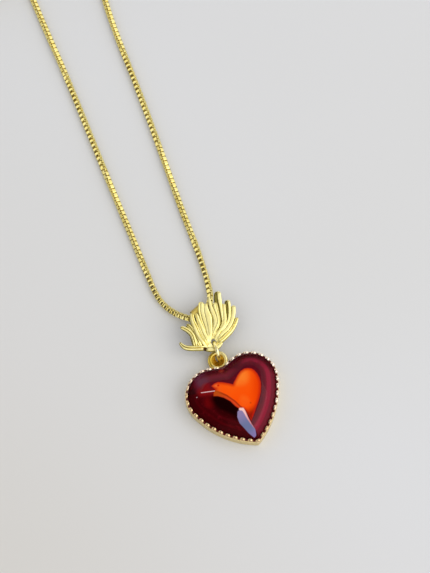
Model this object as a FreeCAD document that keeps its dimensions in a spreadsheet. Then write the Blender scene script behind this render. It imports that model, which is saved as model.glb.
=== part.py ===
import FreeCAD, Part
import math
import os

import Sketcher
from FreeCAD import Placement, Rotation, Vector

# Heart pendant on a fine box chain, lying face up on a flat surface.
# The heart's axis is Y, with the flame towards +Y and the heart's tip towards -Y. Z is up,
# the surface is z = 0, and the origin is where the heart is widest, on its flat back.

os.makedirs("parts", exist_ok=True)
doc = FreeCAD.newDocument("sacred_heart_pendant")

# Driving sizes, in millimetres and degrees
SIZES = [
    ("heart_half_width", 8.66, "axis to the line of scallops, where the heart is widest"),
    ("lobe_radius", 4.94, "round lobe of the scallop line"),
    ("side_radius", 16.37, "long side of the scallop line, lobe to tip"),
    ("side_turn", 18.3, "angle below X where the lobe becomes the side"),
    ("crown_radius", 43.4, "near-straight stretch between lobe and notch"),
    ("crown_turn", 104.4, "angle from X where the lobe becomes the crown"),
    ("wall_outset", 0.3, "outer wall beyond the scallop line"),
    ("wall_height", 2.3, "outer wall, from the back"),
    ("floor_thickness", 0.6, "closed back of the setting"),
    ("rim_thickness", 0.5, "gallery strip, half of it inside the scallop line"),
    ("rim_height", 0.45, "gallery strip above the wall"),
    ("scallop_radius", 0.5, "one round scallop of the gallery"),
    ("scallop_hole", 0.2, "hole through each scallop"),
    ("scallop_pitch", 1.4, "scallop to scallop along the line"),
    ("scallops_a_side", 18, "scallops on each half, without the one at the tip"),
    ("stone_clearance", 0.05, "stone to setting, all round"),
    ("girdle_height", 2.2, "straight edge of the stone"),
    ("shoulder_inset", 1.7, "scallop line to the middle of the bevel"),
    ("shoulder_rise", 1.05, "girdle to the middle of the bevel"),
    ("table_inset", 3.1, "scallop line to the raised inner heart"),
    ("table_rise", 1.9, "girdle to the raised inner heart"),
    ("loop_radius", 1.46, "heart's hanging loop, to the middle of its wire"),
    ("loop_wire", 0.8, "heart's hanging loop, wire diameter"),
    ("loop_out", 1.985, "heart's hanging loop, centre beyond the notch of the scallop line"),
    ("loop_height", 1.2, "heart's hanging loop, centre above the back"),
    ("link_radius", 1.7, "jump ring, to the middle of its wire"),
    ("link_wire", 0.6, "jump ring, wire diameter"),
    ("link_across", 0.45, "jump ring, centre along X"),
    ("link_out", 1.65, "jump ring, centre beyond the centre of the hanging loop"),
    ("link_turn", 7.0, "jump ring, turned clockwise from Y as seen from above"),
    ("flame_across", 0.3, "flame, foot along X"),
    ("flame_out", 0.85, "flame, foot beyond the centre of the jump ring"),
    ("flame_lift", 2.3, "flame, foot of its flat back above the surface"),
    ("flame_tilt", 10.0, "flame, rise towards its tips"),
    ("root_height", 0.5, "flame tongues where they leave the foot, above the flat back"),
    ("foot_radius", 1.15, "round foot of the flame"),
    ("foot_thickness", 0.56, "foot of the flame, through"),
    ("eye_radius", 0.65, "hole in the foot of the flame"),
    ("eye_across", 0.3, "hole in the foot, along the flame's own X"),
    ("eye_along", 0.7, "hole in the foot, along the flame's own length"),
    ("bail_radius", 1.75, "band behind the flame, outside"),
    ("bail_wall", 0.32, "band thickness"),
    ("bail_width", 2.6, "band, along the chain"),
    ("bail_across", 0.9, "band, centre along X"),
    ("bail_out", 6.75, "band, centre beyond the foot of the flame"),
    ("bail_turn", 17.0, "band, axis turned from X"),
    ("chain_width", 1.0, "box chain, across"),
    ("coil_radius", 5.5, "put-away coil, to the middle of its turns"),
    ("coil_across", -7.0, "put-away coil, centre along X"),
    ("coil_along", 100.0, "put-away coil, centre along Y"),
    ("coil_columns", 2, "turns side by side"),
    ("coil_layers", 4, "turns on each other"),
    ("end_ring_radius", 1.0, "soldered end ring, to the middle of its wire"),
    ("end_ring_wire", 0.6, "soldered end ring, wire diameter"),
    ("end_ring_sink", 0.15, "end ring into the end of the chain, soldered"),
    ("far_ring_angle", 48.0, "far end ring, round the coil from X"),
    ("clasp_link_radius", 1.5, "ring between chain and clasp, to the middle of its wire"),
    ("clasp_link_wire", 0.6, "ring between chain and clasp, wire diameter"),
    ("clasp_link_across", 12.2, "ring between chain and clasp, centre along X"),
    ("clasp_link_along", 92.0, "ring between chain and clasp, centre along Y"),
    ("clasp_play", 0.36, "middle of that ring to the wire it holds, on each side"),
    ("clasp_thickness", 2.2, "clasp, through"),
    ("clasp_hook_radius", 2.5, "clasp, round outside of its hook"),
    ("clasp_throat_radius", 1.35, "clasp, hole that holds the other end ring"),
    ("clasp_hook_along", 6.6, "clasp, eye to the middle of its hook"),
    ("clasp_cheek_radius", 2.2, "clasp, round lower body"),
    ("clasp_cheek_along", 3.4, "clasp, eye to the middle of its lower body"),
    ("clasp_slot", 1.0, "slot for the lever, through the thickness"),
    ("lever_gap", 0.05, "lever to slot, each side"),
    ("lever_width", 0.8, "lever arm, across"),
    ("lever_reach", 3.28, "pin to the end of the lever arm"),
    ("lever_lean", 12.0, "lever arm, leaning out from the clasp's length"),
    ("lever_boss_radius", 0.75, "round middle of the lever"),
    ("thumb_reach", 2.0, "pin to the end of the thumb piece"),
    ("thumb_radius", 0.5, "round end of the thumb piece"),
    ("thumb_turn", 25.0, "thumb piece, below the clasp's X"),
    ("pin_diameter", 0.6, "lever pin"),
    ("pin_gap", 0.04, "lever bore beyond its pin"),
    ("pin_across", 0.9, "lever pin, right of the clasp's axis"),
    ("pin_along", 3.3, "lever pin, along the clasp from its eye"),
    ("spring_wire", 0.2, "coil spring behind the lever, wire diameter"),
    ("spring_radius", 0.35, "coil spring, to the middle of its wire"),
    ("spring_turns", 4, "turns of the coil spring"),
    ("spring_along", 4.4, "coil spring, along the clasp from its eye"),
    ("spring_gap", 0.03, "coil spring to the wall and to the lever"),
]

sheet = doc.addObject("Spreadsheet::Sheet", "Sizes")
for row, (alias, number, meaning) in enumerate(SIZES, start=1):
    sheet.set(f"A{row}", alias)
    sheet.set(f"B{row}", str(number))
    sheet.set(f"C{row}", meaning)
    sheet.setAlias(f"B{row}", alias)
doc.recompute()


def size(alias):
    """The number that the sheet holds under this alias."""
    return float(sheet.get(alias))


def bind(thing, **expressions):
    """Ties properties of an object to expressions on the sheet."""
    for name, expression in expressions.items():
        thing.setExpression(name, expression)
    return thing


def primitive(kind, label, placement=None, **expressions):
    """A Part primitive whose sizes follow the sheet."""
    thing = bind(doc.addObject(kind, label), **expressions)
    if placement is not None:
        thing.Placement = placement
    return thing


def boolean(kind, label, base, tool):
    """A two-piece cut or common of document objects."""
    thing = doc.addObject(kind, label)
    thing.Base = base
    thing.Tool = tool
    return thing


def fuse_all(label, pieces):
    """One solid from document objects that touch."""
    thing = doc.addObject("Part::MultiFuse", label)
    thing.Shapes = pieces
    return thing


def free_form(label, shape, placement=None):
    """A shape that this script works out from the sheet."""
    thing = doc.addObject("Part::Feature", label)
    thing.Shape = shape
    if placement is not None:
        thing.Placement = placement
    return thing


def origin_plane(body, role):
    """One of a body's own origin planes."""
    return next(item for item in body.Origin.OriginFeatures if item.Role == role)


# Heart outline: all its curves keep the centres of the scallop line, so an outline
# further in or out differs only in its radii.

def heart_arcs(outset):
    """Centre, radius, first and last angle of the right half's arcs, from tip to notch."""
    turn_low = math.radians(-size("side_turn"))
    turn_high = math.radians(size("crown_turn"))
    lobe = Vector(size("heart_half_width") - size("lobe_radius"), 0, 0)
    side = lobe + direction(turn_low) * (size("lobe_radius") - size("side_radius"))
    crown = lobe + direction(turn_high) * (size("lobe_radius") - size("crown_radius"))
    side_radius = size("side_radius") + outset
    crown_radius = size("crown_radius") + outset
    tip_angle = -math.acos(-side.x / side_radius)
    notch_angle = math.acos(-crown.x / crown_radius)
    return [
        (side, side_radius, tip_angle, turn_low),
        (lobe, size("lobe_radius") + outset, turn_low, turn_high),
        (crown, crown_radius, turn_high, notch_angle),
    ]


def direction(angle):
    """Unit vector in the plane, at an angle in radians from X."""
    return Vector(math.cos(angle), math.sin(angle), 0)


def loop_along():
    """Y of the hanging loop's centre, which follows the heart's notch."""
    crown, radius, _, notch_angle = heart_arcs(0)[2]
    return (crown + direction(notch_angle) * radius).y + size("loop_out")


def link_along():
    """Y of the jump ring's centre."""
    return loop_along() + size("link_out")


def flame_along():
    """Y of the flame's foot."""
    return link_along() + size("flame_out")


def half_heart_sketch(body, name, outset, height):
    """Closed sketch of the heart's right half; outset and height are expressions."""
    sketch = body.newObject("Sketcher::SketchObject", name)
    sketch.AttachmentSupport = [(origin_plane(body, "XY_Plane"), "")]
    sketch.MapMode = "FlatFace"
    sketch.setExpression(".AttachmentOffset.Base.z", height)
    arcs = heart_arcs(0)
    for centre, radius, first, last in arcs:
        circle = Part.Circle(centre, Vector(0, 0, 1), radius)
        sketch.addGeometry(Part.ArcOfCircle(circle, first, last))
    side, lobe, crown = arcs
    tip = side[0] + direction(side[2]) * side[1]
    notch = crown[0] + direction(crown[3]) * crown[1]
    sketch.addGeometry(Part.LineSegment(notch, tip))
    low_end = lobe[0] + direction(lobe[2]) * lobe[1]
    high_end = lobe[0] + direction(lobe[3]) * lobe[1]
    sketch.addGeometry(Part.LineSegment(lobe[0], low_end), True)
    sketch.addGeometry(Part.LineSegment(lobe[0], high_end), True)
    side_arc, lobe_arc, crown_arc, axis, low_ray, high_ray = range(6)
    start, end, middle = 1, 2, 3
    x_axis, y_axis = -1, -2
    sketch.addConstraint([
        Sketcher.Constraint("PointOnObject", lobe_arc, middle, x_axis),
        Sketcher.Constraint("Tangent", side_arc, end, lobe_arc, start),
        Sketcher.Constraint("Tangent", lobe_arc, end, crown_arc, start),
        Sketcher.Constraint("PointOnObject", side_arc, start, y_axis),
        Sketcher.Constraint("PointOnObject", crown_arc, end, y_axis),
        Sketcher.Constraint("Coincident", crown_arc, end, axis, start),
        Sketcher.Constraint("Coincident", axis, end, side_arc, start),
        Sketcher.Constraint("Coincident", low_ray, start, lobe_arc, middle),
        Sketcher.Constraint("Coincident", low_ray, end, lobe_arc, start),
        Sketcher.Constraint("Coincident", high_ray, start, lobe_arc, middle),
        Sketcher.Constraint("Coincident", high_ray, end, lobe_arc, end),
    ])
    driving = {
        "across": (Sketcher.Constraint("DistanceX", x_axis, start, lobe_arc, middle, lobe[0].x),
                   "Sizes.heart_half_width - Sizes.lobe_radius"),
        "side": (Sketcher.Constraint("Radius", side_arc, side[1]), f"Sizes.side_radius + {outset}"),
        "lobe": (Sketcher.Constraint("Radius", lobe_arc, lobe[1]), f"Sizes.lobe_radius + {outset}"),
        "crown": (Sketcher.Constraint("Radius", crown_arc, crown[1]), f"Sizes.crown_radius + {outset}"),
        "low_turn": (Sketcher.Constraint("Angle", x_axis, start, low_ray, start, lobe[2]),
                     "-1 deg * Sizes.side_turn"),
        "high_turn": (Sketcher.Constraint("Angle", x_axis, start, high_ray, start, lobe[3]),
                      "1 deg * Sizes.crown_turn"),
    }
    for label, (constraint, expression) in driving.items():
        sketch.renameConstraint(sketch.addConstraint(constraint), label)
        sketch.setExpression(f"Constraints.{label}", expression)
    return sketch


def pad_or_pocket(body, kind, name, sketch, length):
    """A pad or a pocket of a sketch; length is an expression."""
    feature = body.newObject(kind, name)
    feature.Profile = sketch
    feature.setExpression("Length", length)
    doc.recompute()
    return feature


def mirror_halves(body, features):
    """Completes a body whose features were drawn for the right half only."""
    mirrored = body.newObject("PartDesign::Mirrored", f"{body.Name}_halves")
    mirrored.Originals = features
    mirrored.MirrorPlane = (origin_plane(body, "YZ_Plane"), [""])
    body.Tip = mirrored
    doc.recompute()
    return mirrored


# Heart setting: a shallow cast cup with a gallery of round scallops round its rim
# and a hanging loop soldered into the notch.

def setting_cup():
    """Flat-backed cup that holds the stone."""
    body = doc.addObject("PartDesign::Body", "cup")
    wall = pad_or_pocket(
        body, "PartDesign::Pad", "wall",
        half_heart_sketch(body, "wall_outline", "Sizes.wall_outset", "0"), "Sizes.wall_height")
    rim = pad_or_pocket(
        body, "PartDesign::Pad", "rim",
        half_heart_sketch(body, "rim_outline", "Sizes.rim_thickness / 2", "Sizes.wall_height"),
        "Sizes.rim_height")
    rim_top = "Sizes.wall_height + Sizes.rim_height"
    seat = pad_or_pocket(
        body, "PartDesign::Pocket", "seat",
        half_heart_sketch(body, "seat_outline", "-1 * Sizes.rim_thickness / 2", rim_top),
        f"{rim_top} - Sizes.floor_thickness")
    mirror_halves(body, [wall, rim, seat])
    return body


def scallop_places():
    """Points on the right half of the scallop line, a pitch apart from the tip, with normals.

    None stands so near the notch that it would meet its own mirror image.
    """
    places = []
    passed = 0.0
    index = 1
    for centre, radius, first, last in heart_arcs(0):
        length = radius * (last - first)
        while index <= size("scallops_a_side") and index * size("scallop_pitch") <= passed + length:
            outward = direction(first + (index * size("scallop_pitch") - passed) / radius)
            places.append((centre + outward * radius, outward))
            index += 1
        passed += length
    return [(point, outward) for point, outward in places if point.x > size("scallop_radius")]


def scallop_discs(label, radius, thickness):
    """Round discs that stand on edge along the rim, one of them at the tip."""
    side, side_radius, tip_angle, _ = heart_arcs(0)[0]
    places = [(side + direction(tip_angle) * side_radius, Vector(0, -1, 0))]
    for point, outward in scallop_places():
        places.append((point, outward))
        places.append((Vector(-point.x, point.y, 0), Vector(-outward.x, outward.y, 0)))
    lift = Vector(0, 0, size("wall_height") + size("rim_height"))
    discs = [
        Part.makeCylinder(radius, thickness, point + lift - outward * thickness / 2, outward)
        for point, outward in places
    ]
    return free_form(label, Part.makeCompound(discs))


def heart_setting():
    """Cup, pierced scallops and hanging loop in one piece."""
    loop = primitive(
        "Part::Torus", "hanging_loop",
        Placement(Vector(0, loop_along(), size("loop_height")), Rotation()),
        Radius1="Sizes.loop_radius", Radius2="Sizes.loop_wire / 2")
    scallops = scallop_discs("scallops", size("scallop_radius"), size("rim_thickness"))
    holes = scallop_discs("scallop_holes", size("scallop_hole"), 2 * size("rim_thickness"))
    blank = fuse_all("heart_setting_blank", [setting_cup(), scallops, loop])
    return boolean("Part::Cut", "heart_setting", blank, holes)


# Heart stone: one piece of glass with a straight girdle, a rounded bevel and a raised inner heart

def heart_stone():
    """Stone that drops into the cup from above."""
    body = doc.addObject("PartDesign::Body", "heart_stone")
    foot = "Sizes.floor_thickness + Sizes.stone_clearance"
    girdle_top = f"{foot} + Sizes.girdle_height"
    girdle_outset = "-1 * Sizes.rim_thickness / 2 - Sizes.stone_clearance"
    girdle = pad_or_pocket(
        body, "PartDesign::Pad", "girdle",
        half_heart_sketch(body, "girdle_outline", girdle_outset, foot), "Sizes.girdle_height")
    bevel = body.newObject("PartDesign::AdditiveLoft", "bevel")
    bevel.Profile = half_heart_sketch(body, "bevel_foot", girdle_outset, girdle_top)
    bevel.Sections = [
        half_heart_sketch(body, "bevel_middle", "-1 * Sizes.shoulder_inset",
                          f"{girdle_top} + Sizes.shoulder_rise"),
        half_heart_sketch(body, "table_outline", "-1 * Sizes.table_inset",
                          f"{girdle_top} + Sizes.table_rise"),
    ]
    doc.recompute()
    mirror_halves(body, [girdle, bevel])
    return body


# Flame: one casting, a fan of tongues with a flat back. Each tongue has its crest's height and
# then, from the foot to its blunt tip, points of its middle line with the half-width there:
# (across, along, half-width).

TONGUES = [
    ("lower_curl", 0.8, [(-1.1, 0.2, 0.36), (-3.13, 1.1, 0.4), (-4.23, 1.58, 0.4), (-4.98, 2.13, 0.38),
                         (-5.35, 2.8, 0.28), (-5.43, 3.3, 0.14)]),
    ("upper_curl", 0.85, [(-3.12, 1.1, 0.38), (-2.79, 2.89, 0.4), (-2.79, 3.87, 0.4), (-3.16, 4.74, 0.38),
                          (-3.68, 5.39, 0.34), (-4.16, 5.77, 0.22)]),
    ("short_left", 0.75, [(-2.2, 0.95, 0.36), (-2.28, 3.28, 0.4), (-2.43, 4.74, 0.38), (-2.83, 5.82, 0.32)]),
    ("left", 0.95, [(-1.1, 0.15, 0.4), (-1.64, 2.99, 0.52), (-1.62, 4.62, 0.52), (-1.55, 6.06, 0.44),
                    (-1.19, 7.29, 0.36)]),
    ("inner_left", 1.0, [(-0.6, 0.25, 0.44), (-0.76, 3.04, 0.5), (-0.68, 4.44, 0.44), (-0.61, 5.74, 0.38),
                         (-0.46, 6.92, 0.32)]),
    ("broad_left", 0.95, [(-0.6, 0.4, 0.4), (0.14, 3.55, 0.5), (0.35, 5.3, 0.56), (0.67, 6.91, 0.54),
                          (1.32, 8.54, 0.4)]),
    ("broad_right", 1.0, [(-0.2, 0.9, 0.28), (0.51, 2.77, 0.34), (0.96, 4.0, 0.5), (1.35, 5.37, 0.58),
                          (1.52, 6.72, 0.46), (1.83, 7.92, 0.33)]),
    ("middle", 0.95, [(0.0, 1.05, 0.26), (1.09, 2.61, 0.36), (1.97, 3.65, 0.42), (2.39, 4.79, 0.44),
                      (2.47, 6.19, 0.38), (2.66, 7.55, 0.27), (3.1, 8.85, 0.23)]),
    ("middle_short", 1.05, [(0.14, 0.99, 0.26), (1.26, 2.43, 0.3), (2.21, 3.17, 0.34), (2.8, 3.99, 0.34),
                            (3.11, 5.18, 0.36), (3.28, 6.36, 0.46), (3.52, 7.4, 0.48)]),
    ("tallest", 0.9, [(0.2, 0.86, 0.28), (1.21, 1.98, 0.32), (2.38, 2.64, 0.4), (3.26, 3.47, 0.42),
                      (3.7, 4.82, 0.46), (4.07, 6.19, 0.54), (4.35, 7.5, 0.66), (4.96, 9.08, 0.57)]),
    ("right_short", 1.0, [(0.37, 0.78, 0.26), (2.09, 2.15, 0.3), (3.26, 2.77, 0.32), (4.01, 3.75, 0.33),
                          (4.53, 5.16, 0.32), (5.05, 6.49, 0.3)]),
    ("right", 0.9, [(0.48, 0.84, 0.3), (1.88, 2.05, 0.36), (3.21, 2.57, 0.42), (4.3, 3.33, 0.44),
                    (5.05, 4.41, 0.44), (5.61, 5.7, 0.46), (5.9, 6.85, 0.52)]),
    ("outer_right", 0.95, [(0.58, 0.79, 0.3), (2.46, 1.58, 0.36), (3.82, 2.07, 0.38), (4.95, 2.91, 0.4),
                           (5.87, 4.06, 0.42), (6.54, 5.44, 0.39)]),
    ("lowest_right", 0.95, [(0.3, 0.2, 0.32), (1.49, 0.42, 0.38), (2.82, 0.84, 0.42), (4.17, 1.38, 0.4),
                            (5.31, 2.13, 0.36), (6.25, 3.09, 0.28)]),
    ("foot_leaf", 0.62, [(-1.74, 0.42, 0.3), (-0.88, -0.15, 0.36), (0.13, -0.41, 0.4), (1.04, -0.27, 0.3),
                         (1.79, -0.05, 0.1)]),
]


def tongue(crest, points):
    """Loft of upright ellipses along a smooth line, from its low root to its own crest.

    The flat back is cut later.
    """
    line = Part.BSplineCurve()
    line.interpolate([Vector(across, along, 0) for across, along, _ in points])
    up = Vector(0, 0, 1)
    heights = [size("root_height")] + [crest] * (len(points) - 1)
    sections = []
    for (across, along, half_width), height in zip(points, heights):
        centre = Vector(across, along, 0)
        sideways = up.cross(Vector(*line.tangent(line.parameter(centre))[0])).normalize()
        section = Part.Ellipse(centre + up * height, centre + sideways * half_width, centre)
        sections.append(Part.Wire(section.toShape()))
    return Part.makeLoft(sections, True, False)


def flame_placement():
    """The flame's own frame: its foot on the back plane, tilted up towards the tips."""
    foot = Vector(size("flame_across"), flame_along(), size("flame_lift"))
    return Placement(foot, Rotation(Vector(1, 0, 0), size("flame_tilt")))


def flame():
    """Fan of tongues, round foot and the hole for the jump ring."""
    tongues = [tongue(crest, points) for _, crest, points in TONGUES]
    eye = Vector(size("eye_across"), size("eye_along"), 0)
    foot = Part.makeCylinder(size("foot_radius"), size("foot_thickness"), eye)
    fan = foot.multiFuse(tongues)
    reach = 4 * size("heart_half_width")
    below = Part.makeBox(reach, reach, reach, Vector(-reach / 2, -reach / 2, -reach))
    hole = Part.makeCylinder(size("eye_radius"), reach, eye - Vector(0, 0, reach / 2))
    return free_form("flame", fan.cut(below).cut(hole).removeSplitter(), flame_placement())


# Bail: a band soldered behind the flame, filed flat where it meets the flame's back

def bail():
    """Short tube that the chain runs through."""
    along_axis = direction(math.radians(size("bail_turn")))
    centre = Vector(size("bail_across"), flame_along() + size("bail_out"), size("bail_radius"))
    turned = Rotation(Vector(0, 0, 1), along_axis)
    start = Placement(centre - along_axis * size("bail_width") / 2, turned)
    outside = primitive("Part::Cylinder", "bail_outside", start,
                        Radius="Sizes.bail_radius", Height="Sizes.bail_width")
    bore = primitive("Part::Cylinder", "bail_bore", start,
                     Radius="Sizes.bail_radius - Sizes.bail_wall", Height="Sizes.bail_width")
    band = boolean("Part::Cut", "bail_band", outside, bore)
    reach = 4 * size("heart_half_width")
    above_back = free_form(
        "flame_back", Part.makeBox(reach, reach, reach, Vector(-reach / 2, -reach / 2, 0)), flame_placement())
    return boolean("Part::Cut", "bail", band, above_back)


def jump_ring():
    """Ring on edge that joins the flame's foot and the heart's loop."""
    turn = math.radians(-size("link_turn"))
    centre = Vector(size("link_across"), link_along(), size("link_radius") + size("link_wire") / 2)
    turned = Rotation(Vector(0, 0, 1), direction(turn))
    return primitive("Part::Torus", "jump_ring", Placement(centre, turned),
                     Radius1="Sizes.link_radius", Radius2="Sizes.link_wire / 2")


# Chain: a tube of straight runs and tangent arcs along the chosen points, then the coil

def chain_route():
    """Middle of the chain from the clasp's end ring, through the bail, to the coil."""
    ring_height = size("clasp_thickness") / 2
    first = Vector(size("clasp_link_across"), chain_start(), ring_height)
    low = size("chain_width") / 2
    in_bail = size("bail_wall") + low + CHAIN_RIDES
    route = [
        (12.05, 87.0, 0.85), (11.65, 84.2, low), (10.9, 80.0, low), (10.15, 73.5, low), (9.55, 65.0, low),
        (8.6, 55.0, low), (7.5, 45.0, low), (6.45, 35.5, low), (5.85, 27.5, low), (5.1, 22.0, low),
        (4.5, 19.4, 0.65), (4.0, 17.6, 0.9), (2.5, 15.95, in_bail), (0.9, 15.2, in_bail),
        (-0.75, 15.25, in_bail), (-2.05, 16.35, 0.95), (-3.36, 17.89, 0.75), (-4.4, 19.94, low),
        (-5.0, 22.6, low), (-4.75, 27.5, low), (-4.3, 35.5, low), (-3.75, 46.0, low), (-3.0, 57.5, low),
        (-2.2, 70.0, low), (-1.85, 81.0, low), (-1.35, 90.5, low), (-1.0, 97.0, low),
    ]
    return [first] + [Vector(*point) for point in route]


# The chain rides this far above the bail's wall
CHAIN_RIDES = 0.18


def chain_start():
    """Y of the chain's cut end, sunk into its end ring."""
    ring = size("clasp_link_along") - size("clasp_play") - size("end_ring_radius")
    return ring - size("end_ring_radius") - size("end_ring_wire") / 2 + size("end_ring_sink")


def smooth_wire(points):
    """Straight runs joined by arcs as large as the two runs allow; prints the arcs' radii."""
    edges = []
    radii = []
    last = points[0]
    for before, corner, after in zip(points, points[1:], points[2:]):
        inward = (before - corner).normalize()
        onward = (after - corner).normalize()
        half_turn = (math.pi - inward.getAngle(onward)) / 2
        trim = 0.45 * min((before - corner).Length, (after - corner).Length)
        radius = trim / math.tan(half_turn)
        radii.append(radius)
        start = corner + inward * trim
        end = corner + onward * trim
        to_centre = (inward + onward).normalize()
        middle = corner + to_centre * (radius / math.cos(half_turn) - radius)
        edges.append(Part.LineSegment(last, start).toShape())
        edges.append(Part.Arc(start, middle, end).toShape())
        last = end
    edges.append(Part.LineSegment(last, points[-1]).toShape())
    print("chain radii", [round(radius, 1) for radius in radii])
    return Part.Wire(edges)


def chain_run():
    """The stretch of chain that isn't coiled."""
    route = smooth_wire(chain_route())
    first = route.Edges[0]
    circle = Part.Circle(first.valueAt(first.FirstParameter), first.tangentAt(first.FirstParameter),
                         size("chain_width") / 2)
    tube = route.makePipeShell([Part.Wire(circle.toShape())], True, False)
    expected = math.pi * size("chain_width") ** 2 / 4 * route.Length
    print(f"chain run {route.Length:.2f} long, volume {tube.Volume:.3f} against {expected:.3f}")
    return free_form("chain_run", tube)


def chain_coil():
    """Outer shape of the coiled stretch, a ring of rectangular section."""
    corner = Placement(Vector(size("coil_across"), size("coil_along"), 0), Rotation())
    half_width = "Sizes.coil_columns * Sizes.chain_width / 2"
    height = "Sizes.coil_layers * Sizes.chain_width"
    outside = primitive("Part::Cylinder", "coil_outside", corner,
                        Radius=f"Sizes.coil_radius + {half_width}", Height=height)
    inside = primitive("Part::Cylinder", "coil_inside", corner,
                       Radius=f"Sizes.coil_radius - {half_width}", Height=height)
    turns = size("coil_columns") * size("coil_layers")
    print(f"chain in the coil {2 * math.pi * size('coil_radius') * turns:.1f}")
    return boolean("Part::Cut", "chain_coil", outside, inside)


def end_ring(label, centre):
    """Ring that lies flat, soldered to an end of the chain."""
    return primitive("Part::Torus", label, Placement(centre, Rotation()),
                     Radius1="Sizes.end_ring_radius", Radius2="Sizes.end_ring_wire / 2")


def near_end_ring():
    """End ring beside the clasp."""
    along = size("clasp_link_along") - size("clasp_play") - size("end_ring_radius")
    return end_ring("near_end_ring", Vector(size("clasp_link_across"), along, size("clasp_thickness") / 2))


def far_end_ring():
    """End ring that the clasp would hold, lying on the coil."""
    angle = math.radians(size("far_ring_angle"))
    coil = Vector(size("coil_across"), size("coil_along"), 0)
    top = size("coil_layers") * size("chain_width") + size("end_ring_wire") / 2
    return end_ring("far_end_ring", coil + direction(angle) * size("coil_radius") + Vector(0, 0, top))


# Clasp: a small lobster clasp that lies flat, its own frame at the middle of its eye

def clasp_frame():
    """Middle of the clasp's eye on the surface; the hook is towards +Y."""
    along = size("clasp_link_along") + size("clasp_play") + size("end_ring_radius")
    return Vector(size("clasp_link_across"), along, 0)


def clasp_link():
    """Ring on edge between the chain's end ring and the clasp's eye."""
    centre = Vector(size("clasp_link_across"), size("clasp_link_along"),
                    size("clasp_link_radius") + size("clasp_link_wire") / 2)
    return primitive("Part::Torus", "clasp_link", Placement(centre, Rotation(Vector(0, 1, 0), 90)),
                     Radius1="Sizes.clasp_link_radius", Radius2="Sizes.clasp_link_wire / 2")


def pin_place():
    """Middle of the lever's pin, on the surface."""
    return clasp_frame() + Vector(size("pin_across"), size("pin_along"), 0)


def clasp_block(label, low, high):
    """Box between two corners given in the clasp's own frame."""
    thing = doc.addObject("Part::Box", label)
    thing.Length, thing.Width, thing.Height = high - low
    thing.Placement = Placement(clasp_frame() + low, Rotation())
    return thing


def clasp_body():
    """Hook, lower body and eye, slotted for the lever and open on one side."""
    thick = size("clasp_thickness")
    eye = clasp_frame()
    hook_middle = Vector(0, size("clasp_hook_along"), 0)
    cheek_middle = Vector(0, size("clasp_cheek_along"), 0)
    hook = primitive("Part::Cylinder", "clasp_hook", Placement(eye + hook_middle, Rotation()),
                     Radius="Sizes.clasp_hook_radius", Height="Sizes.clasp_thickness")
    cheek = primitive("Part::Cylinder", "clasp_cheek", Placement(eye + cheek_middle, Rotation()),
                      Radius="Sizes.clasp_cheek_radius", Height="Sizes.clasp_thickness")
    cheek_radius = size("clasp_cheek_radius")
    waist = clasp_block("clasp_waist", Vector(-cheek_radius, cheek_middle.y, 0),
                        Vector(cheek_radius, hook_middle.y, thick))
    loop = primitive("Part::Torus", "clasp_eye", Placement(eye + Vector(0, 0, thick / 2), Rotation()),
                     Radius1="Sizes.end_ring_radius", Radius2="Sizes.end_ring_wire / 2")
    solid = fuse_all("clasp_blank", [hook, cheek, waist, loop])
    throat = primitive("Part::Cylinder", "clasp_throat", Placement(eye + hook_middle, Rotation()),
                       Radius="Sizes.clasp_throat_radius", Height="Sizes.clasp_thickness")
    gate = clasp_block("clasp_gate",
                       Vector(size("lever_boss_radius"), cheek_middle.y + size("clasp_throat_radius"), 0),
                       Vector(2 * cheek_radius, hook_middle.y + size("lever_gap"), thick))
    slot_low = (thick - size("clasp_slot")) / 2
    slot = clasp_block("clasp_lever_slot",
                       Vector(size("pin_across") - 2 * size("lever_boss_radius"),
                              size("pin_along") - 2 * size("lever_boss_radius"), slot_low),
                       Vector(2 * cheek_radius, hook_middle.y, slot_low + size("clasp_slot")))
    pin_hole = primitive("Part::Cylinder", "clasp_pin_hole", Placement(pin_place(), Rotation()),
                         Radius="Sizes.pin_diameter / 2", Height="Sizes.clasp_thickness")
    opening = fuse_all("clasp_openings", [throat, gate, slot, pin_hole])
    return boolean("Part::Cut", "clasp_body", solid, opening)


def clasp_lever():
    """Sprung gate with a thumb piece, on the pin."""
    thin = size("clasp_slot") - 2 * size("lever_gap")
    low = Vector(0, 0, (size("clasp_thickness") - thin) / 2)
    pin = pin_place() + low
    lean = math.radians(90 - size("lever_lean"))
    thumb = math.radians(-size("thumb_turn"))
    half_width = size("lever_width") / 2

    def arm(towards, reach, half):
        """Bar from the pin in one direction."""
        sideways = direction(towards + math.pi / 2) * half
        end = pin + direction(towards) * reach
        corners = [pin - sideways, end - sideways, end + sideways, pin + sideways]
        return Part.Face(Part.makePolygon(corners + corners[:1])).extrude(Vector(0, 0, thin))

    thumb_end = pin + direction(thumb) * size("thumb_reach")
    boss = Part.makeCylinder(size("lever_boss_radius"), thin, pin)
    knob = Part.makeCylinder(size("thumb_radius"), thin, thumb_end)
    lever = boss.multiFuse([arm(lean, size("lever_reach"), half_width),
                            arm(thumb, size("thumb_reach"), size("thumb_radius")), knob])
    bore = Part.makeCylinder(size("pin_diameter") / 2 + size("pin_gap"), thin, pin)
    return free_form("clasp_lever", lever.cut(bore).removeSplitter())


def clasp_pin():
    """Rivet that the lever turns on."""
    return primitive("Part::Cylinder", "clasp_pin", Placement(pin_place(), Rotation()),
                     Radius="Sizes.pin_diameter / 2", Height="Sizes.clasp_thickness")


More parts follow.
